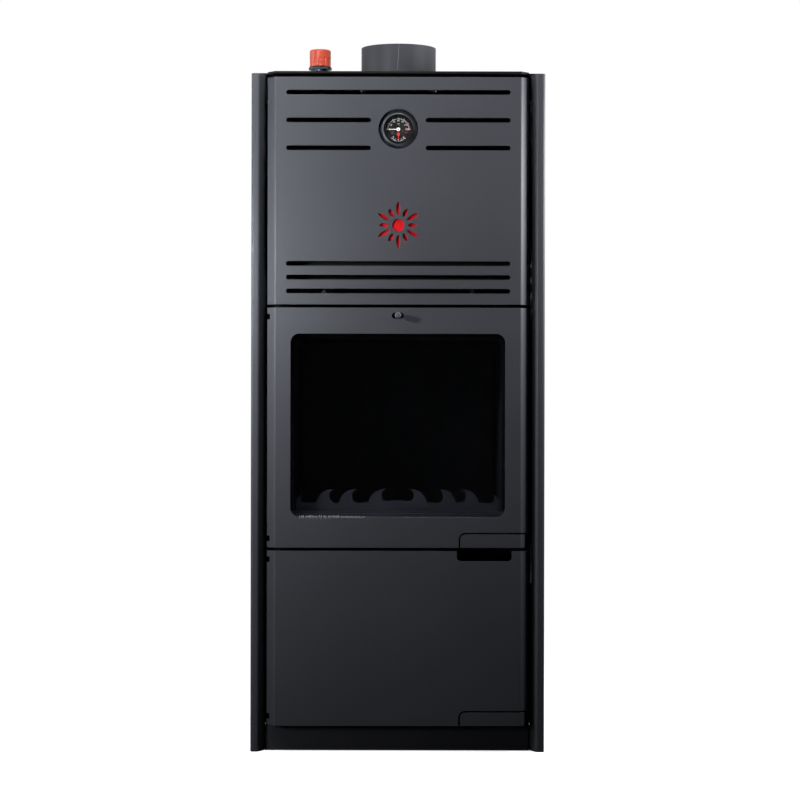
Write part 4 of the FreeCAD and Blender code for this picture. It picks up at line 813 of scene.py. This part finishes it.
class STOVE_OT_casing_bolts(bpy.types.Operator):
    """Turn the casing's screws into flanged hexagon screws with rolled threads."""
    bl_idname = "stove.casing_bolts"
    bl_label = "Casing screws"

    def execute(self, context):
        parts = []
        for low, high in islands("casing_screws"):
            middle = (low + high) / 2
            faces_front = middle.y < 0
            axis = Vector((0, -1 if faces_front else 1, 0))
            head = Vector((middle.x, low.y if faces_front else high.y, middle.z)) - axis * HEAD_HEIGHT * MM
            turn = middle.x * HEAD_TURN_PER_METRE
            side = Vector((math.cos(turn), 0, math.sin(turn)))
            flange = [(r * MM, h * MM) for r, h in FLANGE_PROFILE]
            hexagon = [(HEX_CORNER * MM * share, h * MM) for share, h in HEX_PROFILE]
            shank = (high.y - low.y) - HEAD_HEIGHT * MM
            count = max(2, int(shank / (SCREW_PITCH * MM)))
            thread = [(SCREW_TIP * MM, 0)]
            for k in range(count):
                thread += [(r * MM, -shank * (k + share) / count) for r, share in (SCREW_CREST, SCREW_ROOT)]
            thread.append((SCREW_TIP * MM, -shank))
            for profile, steps in ((flange, 40), (hexagon, 6), (thread, 20)):
                parts.append(turned(profile, head, axis, side, steps))
        zinc = shared("bright_zinc_plated_steel", zinc_plate)
        piece("casing_hex_screws", parts, zinc, "stove", ("casing_screws",))
        return {"FINISHED"}


# Pipe threads, in millimetres: pitches of G1 and G1/2, and shares of the pitch
LARGE_PIPE = 12
LARGE_PITCH = 2.309
SMALL_PITCH = 1.814
THREAD_TURNS = 6
THREAD_STEPS = 36
THREAD_START = 1.6
THREAD_ROOT = 0.25
THREAD_CREST = (0.1, 0.55)
CREST_SHARE = 0.08
ROOT_SHARE = 0.42


class STOVE_OT_threads(bpy.types.Operator):
    """Cut the pipe threads that show in the water sockets and the valve's outlet."""
    bl_idname = "stove.threads"
    bl_label = "Pipe threads"

    def execute(self, context):
        steel = shared("mill_scale_boiler_plate", mill_scale_steel)
        brass = shared("dull_nickel_plated_brass", nickel_plated_brass)
        steps = THREAD_TURNS * THREAD_STEPS
        for mount in frame["record"]["mounts"]:
            if mount["kind"] != "threaded_hole":
                continue
            radius = mount["dims"]["r_mm"] * MM
            pitch = (LARGE_PITCH if radius > LARGE_PIPE * MM else SMALL_PITCH) * MM
            face = Vector(mount["pos_m"])
            root = radius + THREAD_ROOT * MM
            rings = []
            for i in range(steps + 1):
                a = 2 * math.pi * i / THREAD_STEPS
                out = Vector((math.cos(a), 0, math.sin(a)))
                depth = THREAD_START * MM + pitch * i / THREAD_STEPS
                fade = min(1.0, i / THREAD_STEPS, (steps - i) / THREAD_STEPS)
                crest = radius - (THREAD_CREST[0] + THREAD_CREST[1] * fade) * MM
                rings.append([face + out * r - Vector((0, depth + share * pitch, 0)) for r, share in (
                    (root, -ROOT_SHARE), (crest, -CREST_SHARE), (crest, CREST_SHARE), (root, ROOT_SHARE))])
            outlet = mount["name"] == "valve_outlet"
            piece(mount["name"] + "_thread", [swept(rings, False)], brass if outlet else steel, "stove")
        return {"FINISHED"}


# Weld seam, in millimetres: its section across and proud of the collar, and its lean from foot to top
SEAM_PROFILE = ((-1.3, -0.3), (-1.0, 0.5), (-0.4, 0.95), (0.3, 0.95), (0.8, 0.5), (1.0, -0.3))
SEAM_LEAN = (-3.0, 0.8)
SEAM_BELOW_RIM = 1.5
SEAM_STEPS = 60
SEAM_RIPPLE = 0.12
SEAM_RIPPLE_TURN = 1.9


class STOVE_OT_collar_seam(bpy.types.Operator):
    """Run the weld seam down the front of the flue collar."""
    bl_idname = "stove.collar_seam"
    bl_label = "Collar seam"

    def execute(self, context):
        colours = context.scene.stove_colours
        spigot = [m for m in frame["record"]["mounts"] if m["name"] == "flue_spigot"][0]
        radius = spigot["dims"]["r_mm"] * MM
        centre = Vector(spigot["pos_m"])
        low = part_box("top_plate")[1].z
        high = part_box("flue_collar")[1].z - SEAM_BELOW_RIM * MM
        rings = []
        for i in range(SEAM_STEPS + 1):
            share = i / SEAM_STEPS
            z = low + (high - low) * share
            lean = SEAM_LEAN[0] + (SEAM_LEAN[1] - SEAM_LEAN[0]) * share
            ripple = 1.0 + SEAM_RIPPLE * math.sin(i * SEAM_RIPPLE_TURN)
            ring = []
            for across, proud in SEAM_PROFILE:
                x = (lean + across) * MM
                y = centre.y - math.sqrt(radius ** 2 - x ** 2) - proud * ripple * MM
                ring.append(Vector((x, y, z)))
            rings.append(ring)
        # The seam's paint is the casing paint lightened to 1.7: a painted highlight for the bright line along the
        # lap edge
        paint = sprayed_paint("weld_seam_paint_with_painted_highlight", shade(colours.casing, 1.7), OVER_WELD)
        piece("collar_weld_seam", [swept(rings, False)], paint, "stove")
        return {"FINISHED"}


class STOVE_OT_casing(bpy.types.Operator):
    """Paint the casing, doors, handles, plinth and hinge lugs; darken the collar and guard with painted shade,
    lighten the knob with a painted highlight.
    """
    bl_idname = "stove.casing"
    bl_label = "Casing"

    def execute(self, context):
        colours = context.scene.stove_colours
        paint = sprayed_paint("anthracite_heat_resistant_paint", colours.casing, SATIN)
        dress(["left_side_panel", "right_side_panel", "upper_panel", "fire_door_panel",
               "ash_door_panel", "fire_handle", "ash_handle", "plinth", "hinge_lugs"], paint)
        # Flue collar and log guard: the casing paint darkened to 0.82, as painted shade
        shaded_casing_paint = sprayed_paint("casing_paint_with_painted_shade", shade(colours.casing, 0.82), SHADED_SATIN)
        dress(["flue_collar", "log_guard"], shaded_casing_paint)
        # Air knob: the casing paint lightened to 1.7, a painted highlight that stands in for the glints of its
        # bare face
        knob_highlight_paint = sprayed_paint("casing_paint_with_painted_highlight", shade(colours.casing, 1.7), KNOB_SATIN)
        dress(["air_knob"], knob_highlight_paint)
        return {"FINISHED"}


class STOVE_OT_ironwork(bpy.types.Operator):
    """Paint the top, frames, hinges, brackets, strikes and slider black, with a band of painted light on the fire
    door's sill.
    """
    bl_idname = "stove.ironwork"
    bl_label = "Black ironwork"

    def execute(self, context):
        colours = context.scene.stove_colours
        paint = sprayed_paint("black_heat_resistant_paint", colours.ironwork, DULL)
        # The boiler's bottom plate takes the black paint instead of mill scale: painted shade where it shows in
        # the gap under the lower door
        dress(["top_plate", "panel_brackets", "latch_strikes", "boiler_bottom", "ash_door_frame",
               "air_slider", "slider_guide", "fire_door_hinge", "ash_door_hinge", "fire_handle_bracket",
               "ash_handle_bracket", "glass_clips"], paint)
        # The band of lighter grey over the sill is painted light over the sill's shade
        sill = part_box("fire_door_frame")[0].z
        lit_band = (sill, sill + context.scene.stove_sizes.ash_film)
        dress(["fire_door_frame", "boiler_front_plate"],
              sprayed_paint("black_paint_with_painted_light", colours.ironwork, DULL, lit_band))
        return {"FINISHED"}


class STOVE_OT_sun_backing(bpy.types.Operator):
    """Paint the sheet behind the sun red."""
    bl_idname = "stove.sun_backing"
    bl_label = "Sun backing"

    def execute(self, context):
        colours = context.scene.stove_colours
        dress(["sun_backing"], sprayed_paint("red_sprayed_enamel", colours.backing, ENAMEL))
        return {"FINISHED"}


class STOVE_OT_boiler(bpy.types.Operator):
    """Finish the boiler plates, grate, back sheet, ash pan and handle pins."""
    bl_idname = "stove.boiler"
    bl_label = "Boiler, grate and back"

    def execute(self, context):
        dress(["boiler_shell", "boiler_lid", "firebox_shell", "firebox_floor", "firebox_crown",
               "smoke_box", "smoke_tubes", "hearth_plate", "baffle", "baffle_ledges", "air_duct", "air_flap",
               "water_sockets", "valve_stub"], shared("mill_scale_boiler_plate", mill_scale_steel))
        dress(["grate"], sand_cast_iron("sand_cast_iron"))
        dress(["rear_panel", "ash_pan"], galvanised_sheet("hot_dip_galvanised_sheet"))
        dress(["fire_handle_pin", "ash_handle_pin"], shared("bright_zinc_plated_steel", zinc_plate))
        return {"FINISHED"}


class STOVE_OT_window(bpy.types.Operator):
    """Finish the fire door's glass."""
    bl_idname = "stove.window"
    bl_label = "Window glass"

    def execute(self, context):
        colours = context.scene.stove_colours
        dress(["glass_pane"], pane_glass("polished_glass_ceramic", colours.pane, refraction=1.54,
                                         smear=70 * MM, detail=5.0, clean=0.45, haze=0.05))
        return {"FINISHED"}


class STOVE_OT_gauge(bpy.types.Operator):
    """Finish the gauge's case, ring, glass and pointers."""
    bl_idname = "stove.gauge"
    bl_label = "Gauge"

    def execute(self, context):
        colours = context.scene.stove_colours
        dress(["gauge_case", "gauge_dial"],
              moulded_plastic("black_moulded_abs", colours.gauge, rough=0.5, grit=0.5 * MM))
        dress(["gauge_rosette"],
              moulded_plastic("grey_moulded_abs", colours.rosette, rough=0.45, grit=0.5 * MM))
        dress(["gauge_glass"], pane_glass("drawn_flat_glass", (1, 1, 1), refraction=1.5,
                                          smear=15 * MM, detail=3.0, clean=0.5, haze=0.06))
        dress(["temperature_pointer"], printed_ink("white_screen_ink", colours.print_white))
        dress(["pressure_pointer"], printed_ink("red_screen_ink", colours.pointer_red))
        return {"FINISHED"}


class STOVE_OT_valve(bpy.types.Operator):
    """Finish the safety valve."""
    bl_idname = "stove.valve"
    bl_label = "Safety valve"

    def execute(self, context):
        colours = context.scene.stove_colours
        dress(["valve_cap"], moulded_plastic("red_moulded_nylon", colours.cap, rough=0.32, grit=0.6 * MM))
        dress(["valve_body"], shared("dull_nickel_plated_brass", nickel_plated_brass))
        return {"FINISHED"}


# Stage, in metres: each lamp's place, the place it aims at, its size and its watts
LAMPS = (
    ("upper_key_lamp", (-0.4, -0.62, 1.45), (0.0, -0.3, 1.2), 0.2, 1.6),
    ("key_lamp", (-0.5, -0.6, 0.95), (-0.1, -0.3, 0.9), 0.07, 2.8),
    ("lower_key_lamp", (-0.65, -0.6, 0.7), (-0.1, -0.3, 0.7), 0.2, 0.95),
    ("left_rim_lamp", (-1.5, -0.2, 1.4), (-0.25, -0.28, 1.0), 0.5, 4.5),
    ("right_side_lamp", (0.84, -0.38, 1.15), (0.25, -0.28, 1.1), 0.26, 10.5),
    ("low_lamp", (-0.7, -0.8, 0.25), (-0.1, -0.28, 0.1), 0.15, 0.7),
    ("top_lamp", (0.0, -0.52, 1.75), (0.0, -0.3, 1.0), 0.08, 3.0),
)
FLOOR_HALF = 5.5
FLOOR_GLOW = 0.75
FRONT_LIGHT = 0.006
REAR_LIGHT = 0.8
REAR_FROM = 0.35
CAMERA_SIDE_MM = 4.2
CAMERA_ROLL = 0.12
SENSOR_MM = 36.0
LENS_MM = 108.0


def pale_surroundings(scene):
    """White to the camera; pale behind the stove and dark in front of it to everything else."""
    world = bpy.data.worlds.new("pale_studio")
    scene.world = world
    world.use_nodes = True
    tree = world.node_tree
    tree.nodes.clear()
    way = node(tree, "ShaderNodeTexCoord").outputs["Generated"]
    parts = node(tree, "ShaderNodeSeparateXYZ", None, {"Vector": way})
    behind = node(tree, "ShaderNodeMapRange",
                  {"From Min": 0.0, "From Max": REAR_FROM, "To Min": FRONT_LIGHT, "To Max": REAR_LIGHT},
                  {"Value": parts.outputs["Y"]})
    path = node(tree, "ShaderNodeLightPath")
    level = node(tree, "ShaderNodeMath", {"operation": "MAXIMUM"},
                 {0: behind.outputs["Result"], 1: path.outputs["Is Camera Ray"]})
    light = node(tree, "ShaderNodeBackground", {"Color": (1, 1, 1, 1)},
                 {"Strength": level.outputs["Value"]})
    node(tree, "ShaderNodeOutputWorld", None, {"Surface": light.outputs["Background"]})


def studio_floor(scene):
    """White floor to the camera, dark to everything else, and painted dark under the plinth as painted shade."""
    colours = scene.stove_colours
    floor_mesh = bpy.data.meshes.new("studio_floor")
    foot_low, foot_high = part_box("plinth")
    half = FLOOR_HALF
    floor_mesh.from_pydata([(-half, -half, 0), (half, -half, 0), (half, half, 0), (-half, half, 0),
                            (foot_low.x, foot_low.y, 0), (foot_high.x, foot_low.y, 0),
                            (foot_high.x, foot_high.y, 0), (foot_low.x, foot_high.y, 0)], [],
                           [(0, 1, 5, 4), (1, 2, 6, 5), (2, 3, 7, 6), (3, 0, 4, 7), (4, 5, 6, 7)])
    floor = bpy.data.objects.new("studio_floor", floor_mesh)
    scene.collection.objects.link(floor)
    made, tree, shader = finish("painted_studio_floor", {
        "Roughness": 0.9, "Specular IOR Level": 0.0, "Emission Color": (1, 1, 1, 1)})[:3]
    seen = node(tree, "ShaderNodeLightPath").outputs["Is Camera Ray"]
    tint(tree, shader, seen, colours.floor_bounce, colours.floor)
    glow = node(tree, "ShaderNodeMath", {"operation": "MULTIPLY", 1: FLOOR_GLOW}, {0: seen})
    tree.links.new(glow.outputs["Value"], shader.inputs["Emission Strength"])
    floor_mesh.materials.append(made)
    # Under the plinth the floor is painted dark, without the glow: painted shade
    painted_shade_sockets = {"Base Color": solid(colours.floor_covered), "Roughness": 0.9}
    floor_mesh.materials.append(finish("studio_floor_painted_shade", painted_shade_sockets)[0])
    floor_mesh.polygons[4].material_index = 1


def hang_lamps(scene):
    """Area lamps, unseen by the camera."""
    for name, place, aim, size, watts in LAMPS:
        lamp = bpy.data.lights.new(name, "AREA")
        lamp.size = size
        lamp.energy = watts
        holder = bpy.data.objects.new(name, lamp)
        holder.location = place
        holder.rotation_euler = (Vector(aim) - Vector(place)).to_track_quat("-Z", "Y").to_euler()
        holder.visible_camera = False
        scene.collection.objects.link(holder)


def photo_camera(scene):
    """Camera at the photographer's place, level, and rolled a little."""
    sizes = scene.stove_sizes
    lens = bpy.data.cameras.new("photo_camera")
    lens.sensor_width = SENSOR_MM
    lens.lens = LENS_MM
    camera = bpy.data.objects.new("photo_camera", lens)
    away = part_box("left_side_panel")[0].y - sizes.camera_away
    camera.matrix_world = (Matrix.Translation((CAMERA_SIDE_MM * MM, away, sizes.camera_height))
                           @ Matrix.Rotation(math.radians(90), 4, "X")
                           @ Matrix.Rotation(math.radians(CAMERA_ROLL), 4, "Z"))
    scene.collection.objects.link(camera)
    scene.camera = camera


class STOVE_OT_stage(bpy.types.Operator):
    """Set up the floor, the lamps, the pale surroundings and the camera."""
    bl_idname = "stove.stage"
    bl_label = "Stage"

    def execute(self, context):
        scene = context.scene
        scene.view_settings.view_transform = "Standard"
        pale_surroundings(scene)
        studio_floor(scene)
        hang_lamps(scene)
        photo_camera(scene)
        return {"FINISHED"}


class STOVE_PT_panel(bpy.types.Panel):
    """Lists the stove's operators and values."""
    bl_idname = "STOVE_PT_panel"
    bl_label = "Boiler fireplace"
    bl_space_type = "VIEW_3D"
    bl_region_type = "UI"
    bl_category = "Stove"

    def draw(self, context):
        for operator in OPERATORS:
            self.layout.operator(operator.bl_idname)
        for group in (context.scene.stove_sizes, context.scene.stove_colours):
            for key in group.__annotations__:
                self.layout.prop(group, key)


OPERATORS = (STOVE_OT_casing, STOVE_OT_ironwork, STOVE_OT_sun_backing, STOVE_OT_boiler, STOVE_OT_window,
             STOVE_OT_gauge, STOVE_OT_valve, STOVE_OT_door_ropes, STOVE_OT_window_tape, STOVE_OT_wool_mats,
             STOVE_OT_dial_print, STOVE_OT_casing_bolts, STOVE_OT_threads, STOVE_OT_collar_seam,
             STOVE_OT_stage)
CLASSES = (StoveColours, StoveSizes) + OPERATORS + (STOVE_PT_panel,)


def register():
    for cls in CLASSES:
        bpy.utils.register_class(cls)
    bpy.types.Scene.stove_colours = bpy.props.PointerProperty(type=StoveColours)
    bpy.types.Scene.stove_sizes = bpy.props.PointerProperty(type=StoveSizes)


def unregister():
    del bpy.types.Scene.stove_sizes
    del bpy.types.Scene.stove_colours
    for cls in reversed(CLASSES):
        bpy.utils.unregister_class(cls)


def main():
    register()
    for operator in OPERATORS:
        group, name = operator.bl_idname.split(".")
        getattr(getattr(bpy.ops, group), name)()


if __name__ == "__main__":
    main()
